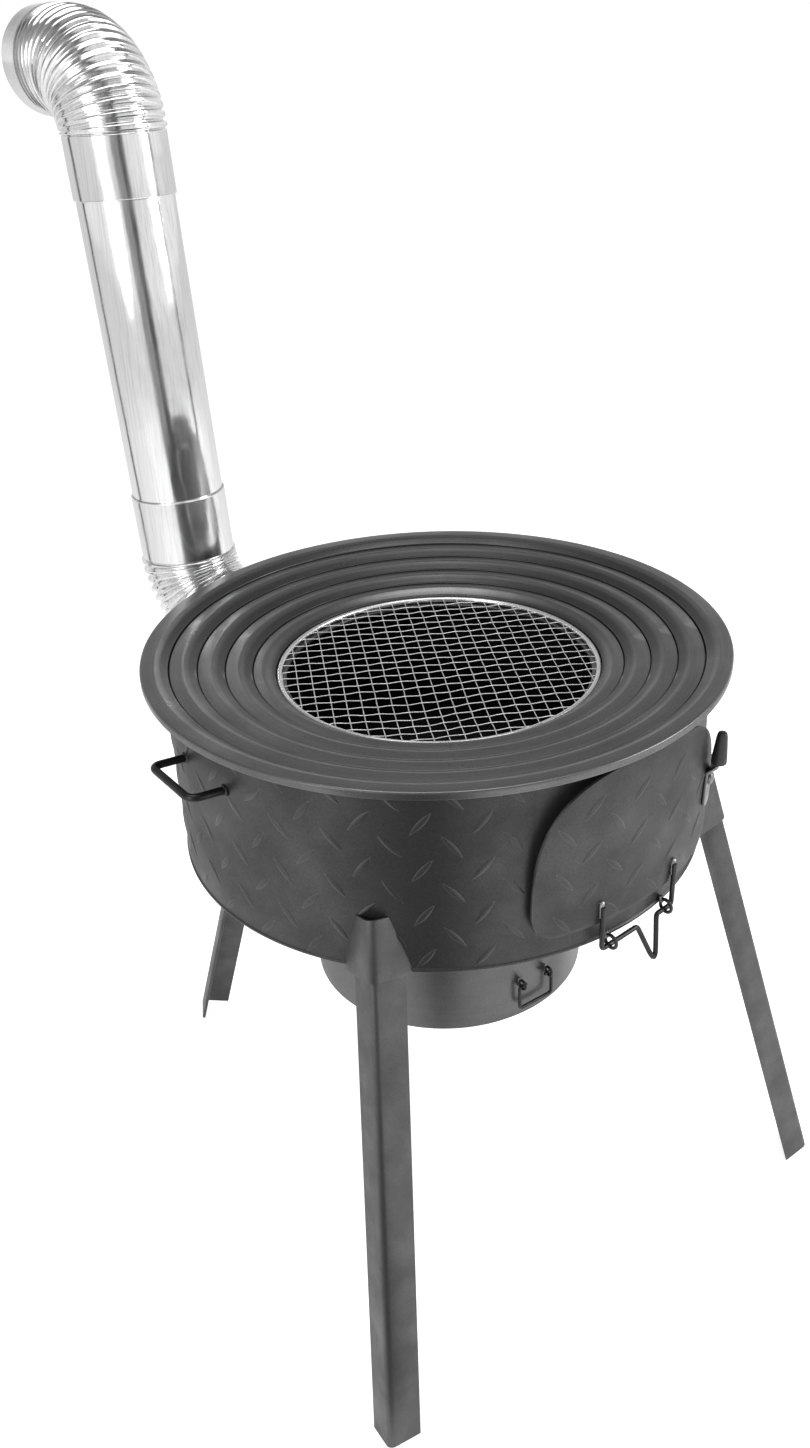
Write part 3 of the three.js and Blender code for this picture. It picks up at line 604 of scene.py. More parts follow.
def rolled_aluminium(colour):
    """Rolled aluminium sheet: mirror-bright, with long rolling lines and a waver that breaks reflections."""
    tree = new_material("flue_aluminium_rolled").node_tree
    place = object_place(tree)
    # Rolling lines run along the flue, so the pattern is drawn out upwards. Real lines are about 0.1 mm apart
    # and are drawn at 1.5 mm, so that they show.
    drawn = add_node(tree, "ShaderNodeMapping", {"Scale": (1, 1, 0.02), "Vector": place})
    lines = noise(drawn, per_mm(1.5), 3, 0.6)
    colours = ramp(lines, [(0.3, linear(colour, 0.86)), (0.6, linear(colour, 1.04))])
    cloud = noise(place, per_mm(30), 4)
    waver = noise(place, per_mm(45), 2)
    end_material(tree, Metallic=1.0, Base_Color=colours, Roughness=spread(cloud, 0.12, 0.2),
                 Normal=raised(waver, 0.0006, raised(lines, 0.00003, strength=0.35)))


def phenolic_grip(colour):
    """Moulded phenolic plastic: near-black, satin, with a faint moulded texture and dust."""
    tree = new_material("cap_phenolic_moulded").node_tree
    place = object_place(tree)
    grain = noise(place, per_mm(0.8), 2)
    cloud = noise(place, per_mm(9), 4)
    colours = ramp(cloud, [(0.35, linear(colour, 0.8)), (0.7, linear(colour, 1.5))])
    end_material(tree, Metallic=0.0, IOR=1.6, Base_Color=colours, Roughness=spread(cloud, 0.34, 0.5),
                 Normal=raised(grain, 0.00006, strength=0.6))


def finishes():
    """Every material of the stove by its name, made once."""
    if "tread_plate_hot_rolled" in bpy.data.materials:
        return bpy.data.materials
    colours = bpy.context.scene.stove_colours
    # Hot-rolled tread plate keeps a dark mill skin: satin, cloudy, and lighter at its edges, partly by wear
    # and partly as a painted highlight.
    worked_metal("tread_plate_hot_rolled", colours.tread_plate, patch_mm=55, contrast=0.22, grain_mm=1.4,
                 roughness=(0.36, 0.5), metallic=0.75, edge_wear_and_highlight=0.55, dent_mm=90, dent_depth=0.0012)
    # Pressed and oiled steel rings: a soft sheen with faint lines from the press, round the axis, and painted
    # shade that darkens the slope of each step.
    worked_metal("ring_steel_pressed", colours.rings, patch_mm=70, contrast=0.18, grain_mm=1.0,
                 roughness=(0.26, 0.38), metallic=0.85, streak=(60, 1.6, 0.09), edge_wear_and_highlight=0.45, dent_depth=0.0002,
                 steps=(FIRST_RING, sizes().ring_pitch))
    # Hot-rolled angle: mill skin with scuffs, and a ridge lightened partly by wear and partly as a painted
    # highlight.
    worked_metal("angle_steel_hot_rolled", colours.legs, patch_mm=30, contrast=0.2, grain_mm=1.3,
                 roughness=(0.4, 0.55), metallic=0.75, edge_wear_and_highlight=0.5, dent_mm=40, dent_depth=0.0003)
    # Cold-rolled sheet of the pan: plain, even and a little smoother.
    worked_metal("pan_steel_cold_rolled", colours.pan, patch_mm=80, contrast=0.12, grain_mm=0.9,
                 roughness=(0.32, 0.42), metallic=0.85, streak=(80, 2.5, 0.04), edge_wear_and_highlight=0.4, dent_depth=0.0003)
    # Drawn steel wire, darkened by heat: round, smooth, with glints.
    worked_metal("wire_steel_drawn", colours.wire, patch_mm=14, contrast=0.25, grain_mm=0.8,
                 roughness=(0.3, 0.42), metallic=0.9, edge_wear_and_highlight=0.3, dent_mm=12, dent_depth=0.0001)
    # Weld metal: bright, rippled and rough.
    worked_metal("weld_metal", colours.plated, patch_mm=5, contrast=0.4, grain_mm=0.7, grain_depth=0.00015,
                 roughness=(0.25, 0.4), metallic=1.0, edge_wear_and_highlight=0.4, dent_mm=4, dent_depth=0.0003)
    # Galvanised wire: nearly white, with a soft crystalline variation.
    worked_metal("grill_wire_galvanised", colours.grill, patch_mm=9, contrast=0.1, grain_mm=0.9,
                 grain_depth=0.00002, roughness=(0.22, 0.34), metallic=0.9, edge_wear_and_highlight=0.0, dent_mm=20,
                 dent_depth=0.0001)
    # Zinc-plated strip and bolt: grey with scuffs.
    worked_metal("latch_steel_zinc_plated", colours.plated, patch_mm=8, contrast=0.2, grain_mm=0.8,
                 roughness=(0.28, 0.42), metallic=1.0, edge_wear_and_highlight=0.4, dent_mm=15, dent_depth=0.0001)
    # Sooted inside of the firebox: black and dull.
    worked_metal("firebox_steel_sooted", colours.soot, patch_mm=25, contrast=0.3, grain_mm=1.6,
                 grain_depth=0.0001, roughness=(0.75, 0.9), metallic=0.1, edge_wear_and_highlight=0.1)
    # Sand-cast iron grate: black-grey with a pebbled skin.
    worked_metal("grate_iron_sand_cast", colours.iron, patch_mm=12, contrast=0.25, grain_mm=1.1,
                 grain_depth=0.00025, roughness=(0.6, 0.8), metallic=0.4, edge_wear_and_highlight=0.4)
    rolled_aluminium(colours.flue)
    phenolic_grip(colours.grip)
    return bpy.data.materials


# Geometry Nodes


def new_tree(name, **inputs):
    """A geometry node tree and its inputs by name, given with their defaults."""
    kinds = {float: "Float", int: "Int", bool: "Bool", type(None): "Material"}
    tree = bpy.data.node_groups.new(name, "GeometryNodeTree")
    for way in ("INPUT", "OUTPUT"):
        tree.interface.new_socket(name="Geometry", in_out=way, socket_type="NodeSocketGeometry")
    for label, default in inputs.items():
        kind = "NodeSocket" + kinds[type(default)]
        socket = tree.interface.new_socket(name=label, in_out="INPUT", socket_type=kind)
        if default is not None:
            socket.default_value = default
    sockets = tree.nodes.new("NodeGroupInput").outputs
    return tree, {socket.name: Value(tree, socket) for socket in sockets}


def end_tree(tree, geometry, material):
    """Ends a tree in real geometry with its material."""
    real = add_node(tree, "GeometryNodeRealizeInstances", {"Geometry": geometry})
    painted = add_node(tree, "GeometryNodeSetMaterial", {"Geometry": real, "Material": material})
    add_node(tree, "NodeGroupOutput", {"Geometry": painted})
    return tree


def grown(tree, start=None, **values):
    """The plain mesh that a tree makes with these input values."""
    holder = bpy.data.objects.new("holder", start or bpy.data.meshes.new("seed"))
    bpy.context.scene.collection.objects.link(holder)
    modifier = holder.modifiers.new("tree", "NODES")
    modifier.node_group = tree
    for item in tree.interface.items_tree:
        if item.in_out == "INPUT" and item.name in values:
            modifier[item.identifier] = values[item.name]
    return evaluated(holder)


def kept_value(tree, geometry, name, value, kind="FLOAT_VECTOR"):
    """Geometry with a value stored on its points, and that value as it is read back later."""
    stored = add_node(tree, "GeometryNodeStoreNamedAttribute", {
        "data_type": kind, "domain": "POINT", "Name": name, "Geometry": geometry, "Value": value})
    return stored, add_node(tree, "GeometryNodeInputNamedAttribute", {"data_type": kind, "Name": name})


def tread_marks_tree():
    """Rows of lens-shaped marks on a cylinder, leaning one way and then the other, kept inside or outside the
    door's outline."""
    tree, given = new_tree(
        "tread_marks", Radius=0.2136, Back=0.0, Columns=32, Rows=8, Lowest=0.39, Step=0.019, Length=0.024,
        Height=0.001, Inside=False, Door_Half=0.095, Door_Spring=0.422, Door_Rise=0.109, Door_Low=0.397,
        Seed=3, Material=None)
    index = add_node(tree, "GeometryNodeInputIndex")
    column = index.math("MODULO", given["Columns"])
    row = (index / given["Columns"]).math("FLOOR")
    odd = row.math("MODULO", 2.0)
    turn = (column + odd * 0.5) / given["Columns"] * math.tau
    height = row.math("MULTIPLY_ADD", given["Step"], given["Lowest"])
    across = turn.math("COSINE") * given["Radius"]
    ahead = turn.math("SINE") * given["Radius"] + given["Back"]
    points = add_node(tree, "GeometryNodePoints", {
        "Count": given["Columns"] * given["Rows"], "Position": vector_of(tree, across, ahead, height)})
    # The door's outline, as in the frame: straight sides under an arch of the third power.
    wide = (abs(across) / given["Door_Half"]) ** 3.0
    tall = ((height - given["Door_Spring"]).math("MAXIMUM", 0.0) / given["Door_Rise"]) ** 3.0
    inside = (wide + tall < 1.0) * (ahead < 0.0) * (height > given["Door_Low"])
    chance = add_node(tree, "FunctionNodeRandomValue", {
        "data_type": "FLOAT", 2: -0.08, 3: 0.08, "Seed": given["Seed"]}, 1)
    lean = odd.math("MULTIPLY_ADD", -1.7, 0.85) + chance
    # Points are counted anew once some are gone, so each one's lean and turn are stored on it first.
    points, way = kept_value(tree, points, "way", vector_of(tree, lean, z=turn))
    kept = add_node(tree, "GeometryNodeDeleteGeometry", {
        "domain": "POINT", "Geometry": points, "Selection": abs(given["Inside"] - inside)})
    # One mark: a ball drawn out along y and pinched to a point at both ends.
    ball = add_node(tree, "GeometryNodeMeshUVSphere", {"Segments": 10, "Rings": 9, "Radius": 1.0})
    turned = add_node(tree, "GeometryNodeTransform", {"Geometry": ball, "Rotation": (math.pi / 2, 0, 0)})
    x, y, z = add_node(tree, "GeometryNodeInputPosition").split()
    pinch = (1.0 - y * y).math("MAXIMUM", 0.0).math("SQRT")
    lens = vector_of(tree, x * pinch * given["Height"], y * given["Length"] * 0.5,
                     z * pinch * given["Length"] * 0.11)
    mark = add_node(tree, "GeometryNodeSetPosition", {"Geometry": turned, "Position": lens})
    placed = add_node(tree, "GeometryNodeInstanceOnPoints", {
        "Points": kept, "Instance": mark, "Rotation": way})
    return end_tree(tree, placed, given["Material"])


def woven_net_tree():
    """Two sets of crimped wires woven over and under each other inside a circle."""
    tree, given = new_tree(
        "woven_net", Pitch=0.0115, Wire=0.00075, Radius=0.124, Crimp=0.0004, Waver=0.0006, Dent=0.004,
        Rows=23, Samples=139, Turn=1.0, Height=0.5, Seed=5, Material=None)
    reach = given["Pitch"] * (given["Rows"] - 1.0)
    here = add_node(tree, "GeometryNodeInputPosition")
    x, y, _ = here.split()
    starts, ends = (add_node(tree, "GeometryNodeInputMeshEdgeVertices", output=end)
                    for end in ("Position 1", "Position 2"))
    crosses = abs(starts.vector("SUBTRACT", ends).split()[1]) > 0.0001
    beyond = here.vector("LENGTH") > given["Radius"]
    along, wire = ((part / given["Pitch"] * math.pi).math("COSINE") for part in (x, y))
    lift = along * wire * given["Crimp"]
    sets = []
    for crimp_side, turn in ((1.0, 0), (-1.0, math.pi / 2)):
        grid = add_node(tree, "GeometryNodeMeshGrid", {
            "Size X": reach, "Size Y": reach, "Vertices X": given["Samples"], "Vertices Y": given["Rows"]})
        lines = add_node(tree, "GeometryNodeDeleteGeometry", {
            "domain": "EDGE", "mode": "EDGE_FACE", "Geometry": grid, "Selection": crosses})
        trimmed = add_node(tree, "GeometryNodeDeleteGeometry", {
            "domain": "POINT", "Geometry": lines, "Selection": beyond})
        crimped = add_node(tree, "GeometryNodeSetPosition", {
            "Geometry": trimmed, "Offset": vector_of(tree, z=lift * crimp_side)})
        sets.append(add_node(tree, "GeometryNodeTransform", {"Geometry": crimped, "Rotation": (0, 0, turn)}))
    both = add_node(tree, "GeometryNodeJoinGeometry", {"Geometry": sets[0]})
    tree.links.new(sets[1].socket, both.socket.node.inputs["Geometry"])
    # Hand-straightened wire wavers a little, and the net is pressed in at one side.
    cloud = add_node(tree, "ShaderNodeTexNoise", {
        "noise_dimensions": "4D", "Scale": 28.0, "Detail": 2.0, "W": given["Seed"]}, "Color")
    drift = cloud.vector("SUBTRACT", (0.5, 0.5, 0.5)).scaled(given["Waver"] * 2.0)
    dent_place, dent_reach = (-0.078, 0.03, 0), 0.04
    away = here.vector("DISTANCE", dent_place) / dent_reach
    hollow = (away ** 2.0 * -1.0).math("EXPONENT")
    sink = vector_of(tree, z=hollow * given["Dent"] * -1.0)
    uneven = add_node(tree, "GeometryNodeSetPosition", {
        "Geometry": both, "Offset": drift.vector("ADD", sink)})
    curves = add_node(tree, "GeometryNodeMeshToCurve", {0: uneven})
    section = add_node(tree, "GeometryNodeCurvePrimitiveCircle", {
        "Resolution": 6, "Radius": given["Wire"]})
    wires = add_node(tree, "GeometryNodeCurveToMesh", {
        "Curve": curves, "Profile Curve": section, "Fill Caps": True})
    placed = add_node(tree, "GeometryNodeTransform", {
        "Geometry": wires, "Translation": vector_of(tree, z=given["Height"]),
        "Rotation": vector_of(tree, z=given["Turn"])})
    return end_tree(tree, placed, given["Material"])


def ribbed_tube_tree():
    """A tube along a line of points, with ribs gathered over one stretch of it."""
    tree, given = new_tree(
        "ribbed_tube", Plain=0.041, Valley=0.038, Crest=0.042, Ribs=14, Start=0.03, End=0.12, Samples=200,
        Sides=96, Crumple=0.0006, Seed=2, Material=None)
    here = add_node(tree, "GeometryNodeInputPosition")
    line = add_node(tree, "GeometryNodeMeshToCurve", {0: given["Geometry"]})
    line = add_node(tree, "GeometryNodeResampleCurve", {"Curve": line, "Count": given["Samples"]})
    length = add_node(tree, "GeometryNodeSplineParameter", output="Length")
    line, along = kept_value(tree, line, "along", length, "FLOAT")
    line, middle = kept_value(tree, line, "middle", here)
    section = add_node(tree, "GeometryNodeCurvePrimitiveCircle", {
        "Resolution": given["Sides"], "Radius": given["Plain"]})
    tube = add_node(tree, "GeometryNodeCurveToMesh", {
        "Curve": line, "Profile Curve": section, "Fill Caps": False})
    phase = (along - given["Start"]) / (given["End"] - given["Start"]) * given["Ribs"]
    swell = abs((phase * math.pi).math("SINE")) ** 0.75
    # A fine second fold on each rib.
    fold = (phase * (6 * math.pi)).math("COSINE") * 0.09
    ribbed = given["Valley"] + (swell + fold) * (given["Crest"] - given["Valley"])
    within = (phase > 0.0) * (phase < given["Ribs"])
    radius = within.math("MULTIPLY_ADD", ribbed - given["Plain"], given["Plain"])
    lumps = add_node(tree, "ShaderNodeTexNoise", {
        "noise_dimensions": "4D", "Scale": 55.0, "Detail": 2.0, "W": given["Seed"]})
    crumple = (lumps - 0.5) * given["Crumple"] * within
    spoke = here.vector("SUBTRACT", middle).vector("NORMALIZE").scaled(radius + crumple)
    shaped = add_node(tree, "GeometryNodeSetPosition", {
        "Geometry": tube, "Position": middle.vector("ADD", spoke)})
    return end_tree(tree, shaped, given["Material"])


# Pieces


def ring_outline(index):
    """Outline of a cooking ring, counted from the outermost: shoulder, crest, slope and ledge."""
    s = sizes()
    last = index == 3
    sheet = s.ring_sheet
    outer = FIRST_RING - index * s.ring_pitch
    top = s.rim_top - RIM_STEP - index * s.ring_drop
    inner = GRILL_SEAT if last else outer - s.ring_pitch + 0.0006
    drop = RIM_STEP if last else s.ring_drop
    ledge = top - drop - (GRILL_DEPTH if last else sheet) - 0.0003
    crest = outer - (outer - inner) * 0.52
    slope_end = top - drop + 0.0006
    return [
        (outer, top - sheet, 0.0004), (outer, top - 0.0006, 0.0018), (crest, top + 0.0008, 0.006),
        (inner + 0.0012, slope_end, 0.004), (inner, slope_end - 0.0003, 0.0005), (inner, ledge, 0.0006),
        (inner - 0.008, ledge, 0.0005), (inner - 0.008, ledge - sheet, 0.0005),
        (inner + sheet, ledge - sheet, 0.002), (inner + sheet, slope_end - sheet, 0.002),
        (crest, top + 0.0008 - sheet, 0.006)]


def build_top():
    s = sizes()
    steel = finishes()["ring_steel_pressed"]
    outer, top, sheet = s.rim_radius, s.rim_top, s.sheet
    flat_end, slope_start = 0.2190, 0.21464
    well = s.drum_radius - 0.0043
    rim = [
        (outer, top - 0.006, 0.0006), (outer, top, 0.0018), (flat_end, top, 0.004),
        (slope_start, top - 0.00147, 0.004), (well, top - 0.0042, 0.0012), (well, top - 0.0075, 0.0008),
        (well - 0.010, top - 0.0075, 0.0005), (well - 0.010, top - 0.0095, 0.0005),
        (well + sheet, top - 0.0095, 0.002), (well + sheet, top - 0.0062, 0.002),
        (slope_start, top - 0.00347, 0.003), (flat_end, top - sheet, 0.003),
        (outer - sheet, top - sheet, 0.0008), (outer - sheet, top - 0.006, 0.0004)]
    add_piece("rim", mesh_of(lathe(filleted(rim, 0.001), 240)), "stove_body", "ring_steel", steel,
              replaced=["top_rim"], sharp=50)
    for index in range(4):
        mesh = mesh_of(lathe(filleted(ring_outline(index), 0.001), 216))
        number = str(index + 1)
        add_piece("cooking_ring_" + number, mesh, "ring_" + number, "ring_steel", steel,
                  replaced=["pot_ring_" + number], sharp=50)


def build_grill():
    s = sizes()
    wire = finishes()["grill_wire_galvanised"]
    low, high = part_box("mesh_grill")
    rim_wire = (high.z - low.z) / 2
    centre = (high.x - low.x) / 2 - rim_wire
    middle = low.z + rim_wire
    path = loop(Vector((0, 0, middle)), Vector((1, 0, 0)), Vector((0, 1, 0)), centre, 160)
    edge = mesh_of(sweep(path, rim_wire, sides=14, ring=True))
    add_piece("grill_rim_wire", edge, "grill", "bright_wire", wire)
    net = grown(woven_net_tree(), Pitch=s.net_pitch, Wire=s.net_wire / 2, Radius=centre,
                Crimp=s.net_wire * 0.4, Turn=math.radians(57.7), Height=middle, Material=wire)
    net.transform(Matrix.Translation(AXIS))
    add_piece("grill_net", net, "grill", "bright_wire", wire, replaced=["mesh_grill"], sharp=180)


def door_outline(across, inset=0.0):
    """Lowest and highest point of the door at a place across it, or of its outline drawn in by a width."""
    s = sizes()
    half, rise, corner = DOOR_HALF - inset, DOOR_RISE - inset, DOOR_CORNER - inset
    low = s.drum_bottom + DOOR_FOOT + inset
    share = min(abs(across) / half, 1)
    high = s.rim_top - DOOR_SPRING + rise * (1 - share ** 3) ** (1 / 3)
    inward = abs(across) - (half - corner)
    foot = low if inward <= 0 else low + corner - math.sqrt(max(corner ** 2 - inward ** 2, 0))
    return foot, high


def door_radius():
    """Radius of the door's outer face, about a centre that lies behind the drum's axis by DOOR_BACK."""
    return sizes().drum_radius + DOOR_GAP + DOOR_BACK


def door_face_y(across, depth=0.0):
    """Where the closed door's outer face lies, or a depth behind it."""
    return DOOR_BACK - math.sqrt((door_radius() - depth) ** 2 - across ** 2)


def door_turn():
    """The door's turn about its hinge line, from closed to where it stands."""
    s = sizes()
    hinge = Vector((0, -s.drum_radius - HINGE_OUT, s.drum_bottom - HINGE_DROP))
    return Matrix.Translation(hinge) @ Matrix.Rotation(s.door_ajar, 4, "X") @ Matrix.Translation(-hinge)


def front_cutter(inset):
    """A block of the door's outline, drawn in by a width, that reaches through the drum's front."""
    rows = []
    columns = 60
    front, back = -0.28, -0.1
    for i in range(columns + 1):
        across = (DOOR_HALF - inset) * math.sin(math.pi * (i / columns - 0.5))
        rows.append((across, *door_outline(across, inset)))
    outline = [(across, low) for across, low, high in rows]
    outline += [(across, high) for across, low, high in rows[::-1]]
    points = [Vector((x, y, z)) for y in (front, back) for x, z in outline]
    count = len(outline)
    faces = [tuple(range(count)), tuple(range(count, 2 * count))[::-1]]
    faces += [(i, (i + 1) % count, (i + 1) % count + count, i + count) for i in range(count)]
    return points, faces


def cut(mesh, *cutters):
    """A mesh with closed parts cut from it."""
    holders = []
    modifiers = []
    for cutter in cutters:
        holder = bpy.data.objects.new("cutter", mesh_of(cutter))
        bpy.context.scene.collection.objects.link(holder)
        holders.append(holder)
        modifiers.append(("BOOLEAN", {"operation": "DIFFERENCE", "solver": "EXACT", "object": holder}))
    made = finished(mesh, *modifiers)
    for holder in holders:
        bpy.data.objects.remove(holder)
    return made


def flue_turn():
    """Places a part drawn in the flue's plane, with x out of the drum and z up from the outlet."""
    outlet = Matrix.Translation((0, 0, sizes().rim_top - 0.061))
    return outlet @ Matrix.Rotation(math.radians(96.7), 4, "Z")


def add_tread_marks(name, body, radius, turn=Matrix(), **values):
    """The raised marks of a curved plate, as a piece of their own."""
    s = sizes()
    plate = finishes()["tread_plate_hot_rolled"]
    tree = bpy.data.node_groups.get("tread_marks") or tread_marks_tree()
    marks = grown(tree, Radius=radius - 0.0001, Lowest=s.drum_bottom + 0.012, Length=s.mark_length,
                  Height=s.mark_height, Door_Spring=s.rim_top - DOOR_SPRING, Material=plate, **values)
    marks.transform(Matrix.Translation(AXIS) @ turn)
    add_piece(name, marks, body, "drum_steel", plate, sharp=60)


def build_drum():
    s = sizes()
    looks = finishes()
    plate, soot = looks["tread_plate_hot_rolled"], looks["firebox_steel_sooted"]
    outer, inner = s.drum_radius, s.drum_radius - s.sheet
    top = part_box("firebox_drum")[1].z
    bottom = s.drum_bottom
    wall = [
        (inner, bottom, 0.0003), (outer + 0.0002, bottom, 0.0003), (outer + 0.001, bottom + 0.0004, 0.0008),
        (outer + 0.001, bottom + 0.0022, 0.0008), (outer, bottom + 0.003, 0.0008), (outer, top, 0.0004),
        (inner, top, 0.0004)]
    shell = mesh_of(lathe(filleted(wall, 0.0005, 3), 256))
    flue_hole = sweep([(0.15, 0, 0), (0.26, 0, 0)], 0.035, sides=48, dome=0.01)
    mesh = cut(shell, front_cutter(0.009), moved(flue_hole, flue_turn()))
    sooted = []
    for face in mesh.polygons:
        spot = Vector(face.center) - AXIS
        spot.z = 0
        sooted.append(int(face.normal.dot(spot) < 0 and spot.length < outer - 0.0015))
    piece = add_piece("drum_wall", mesh, "stove_body", "drum_steel", plate, soot, replaced=["firebox_drum"])
    piece.data.polygons.foreach_set("material_index", sooted)
    add_tread_marks("drum_tread_marks", "stove_body", outer, Inside=False, Door_Half=0.100, Door_Rise=0.114,
                    Door_Low=bottom + 0.010)
    dress("drum_floor", soot)
    dress("fire_grate", looks["grate_iron_sand_cast"])
    dress("pan_collar", looks["pan_steel_cold_rolled"])


def door_sheet():
    """The closed door's curved sheet, as a grid of points on each side with its edge closed."""
    columns, rows = 72, 30
    points, faces = [], []
    for depth in (0.0, sizes().sheet):
        for i in range(columns + 1):
            across = DOOR_HALF * math.sin(math.pi * (i / columns - 0.5)) * 0.99999
            low, high = door_outline(across)
            for j in range(rows + 1):
                points.append(Vector((across, door_face_y(across, depth), low + (high - low) * j / rows)))
    count = (columns + 1) * (rows + 1)

    def at(i, j):
        return i * (rows + 1) + j

    for i in range(columns):
        for j in range(rows):
            quad = (at(i, j), at(i + 1, j), at(i + 1, j + 1), at(i, j + 1))
            faces.append(quad)
            faces.append(tuple(k + count for k in quad[::-1]))
    edge = [at(i, 0) for i in range(columns + 1)] + [at(columns, j) for j in range(1, rows + 1)]
    edge += [at(i, rows) for i in range(columns - 1, -1, -1)] + [at(0, j) for j in range(rows - 1, 0, -1)]
    for here, after in zip(edge, edge[1:] + edge[:1]):
        faces.append((here, here + count, after + count, after))
    return points, faces


def build_door():
    s = sizes()
    looks = finishes()
    plate, wire, weld = looks["tread_plate_hot_rolled"], looks["wire_steel_drawn"], looks["weld_metal"]
    turn = door_turn()
    mesh = finished(mesh_of(moved(door_sheet(), turn)), bevel(0.0005, 50))
    add_piece("door_plate", mesh, "door", "drum_steel", plate, replaced=["fuel_door"], sharp=50)
    add_tread_marks("door_tread_marks", "door", door_radius(), turn, Back=DOOR_BACK, Columns=35, Inside=True,
                    Door_Half=0.083, Door_Rise=0.096, Door_Low=s.drum_bottom + 0.030)

    # The bent wire that carries the door, with its two uprights welded to the plate.
    out, low = s.drum_radius + HINGE_OUT, s.drum_bottom - HINGE_DROP
    lean, loop_length, upright = math.radians(20), 0.038, 0.038
    ups = [(place, out + door_face_y(place) - 0.0023) for place in (-0.041, 0.037)]
    (left, left_back), (right, right_back) = ups
    loop_tip = (0.009, -loop_length * math.sin(lean), -loop_length * math.cos(lean))
    corners = [(left, left_back, upright), (left, 0, 0), (-0.002, 0, 0), loop_tip, (0.020, 0, 0),
               (right, 0, 0), (right, right_back, upright)]
    path = [place + Vector((0, -out, low)) for place in bent(corners, 0.004)]
    rod = sweep(path, 0.002, sides=16)
    add_piece("door_wire", mesh_of(moved(rod, turn)), "door", "grey_wire", wire, replaced=["door_hinge_wire"])
    beads = []
    for number, (place, behind) in enumerate(ups):
        foot = Vector((place, behind - out + 0.0012, low + 0.030))
        beads.append(weld_bead([foot, foot + Vector((0, 0.0004, 0.006)), foot + Vector((0, 0.0006, 0.0105))],
                               0.0026, 11 + number))
    add_piece("door_wire_welds", mesh_of(moved(joined(*beads), turn)), "door", "grey_wire", weld)

    # Two eyes under the drum's edge carry the wire.
    welds = []
    for side, name in ((-1, "hinge_eye_left"), (1, "hinge_eye_right")):
        centre = Vector((side * 0.031, -out, low + 0.0017))
        ring = sweep(loop(centre, Vector((0, 1, 0)), Vector((0, 0, 1)), 0.0054), 0.0014, sides=10, ring=True)
        add_piece(name + "_ring", mesh_of(ring), "stove_body", "grey_wire", wire, replaced=[name])
        spot = centre + Vector((0, 0.0046, 0.0028))
        welds.append(weld_bead([spot, spot + Vector((0, 0.0008, 0.003))], 0.0019, 21 + side))
    add_piece("hinge_eye_welds", mesh_of(joined(*welds)), "stove_body", "grey_wire", weld)


def latch_turn():
    """Places a part drawn at the latch, with x across, -y outwards and z up, on the standing door."""
    turn = math.radians(22.5)
    face = math.sqrt(door_radius() ** 2 - (DOOR_BACK * math.sin(turn)) ** 2) - DOOR_BACK * math.cos(turn)
    height = Matrix.Translation((0, 0, sizes().rim_top - 0.075))
    return (door_turn() @ height @ Matrix.Rotation(turn, 4, "Z")
            @ Matrix.Translation((0, -face - 0.0003, 0)))


def build_latch():
    looks = finishes()
    plated = looks["latch_steel_zinc_plated"]
    place = latch_turn()
    lever = finished(merged_copy("latch_lever"), bevel(0.0003, 40))
    add_piece("latch_strip", lever, "latch", "bright_wire", plated, replaced=["latch_lever"])
    low = 0.0153
    high = low + 0.027
    cap = [
        (0, low + 0.020), (0.0023, low + 0.020), (0.0023, low), (0.0060, low, 0.001),
        (0.0058, low + 0.006, 0.004), (0.0042, high - 0.004, 0.006), (0.0034, high - 0.0004, 0.0016),
        (0, high)]
    grip = moved(solid_lathe(cap, 0.0004, 40), place @ Matrix.Translation((0, -0.0075, 0)))
    add_piece("latch_grip", mesh_of(grip), "latch", "black_plastic", looks["cap_phenolic_moulded"],
              replaced=["latch_cap"], sharp=60)
    bolt = [
        (0, -0.0045), (0.0045, -0.0045, 0.0004), (0.0045, -0.0033, 0.0003), (0.003, -0.0033, 0.0001),
        (0.003, 0.0023, 0.0001), (0.005, 0.0023, 0.0004), (0.0047, 0.0042, 0.0014), (0.0022, 0.0053, 0.002),
        (0, 0.0053)]
    rivet = moved(solid_lathe(bolt, 0.0003, 32), place @ Matrix.Rotation(math.pi / 2, 4, "X"))
    add_piece("latch_rivet", mesh_of(rivet), "door", "bright_wire", plated, replaced=["latch_bolt"], sharp=50)
    keeper = finished(merged_copy("latch_keeper"), bevel(0.0003, 40))
    add_piece("latch_hook", keeper, "stove_body", "drum_steel", looks["tread_plate_hot_rolled"],
              replaced=["latch_keeper"])


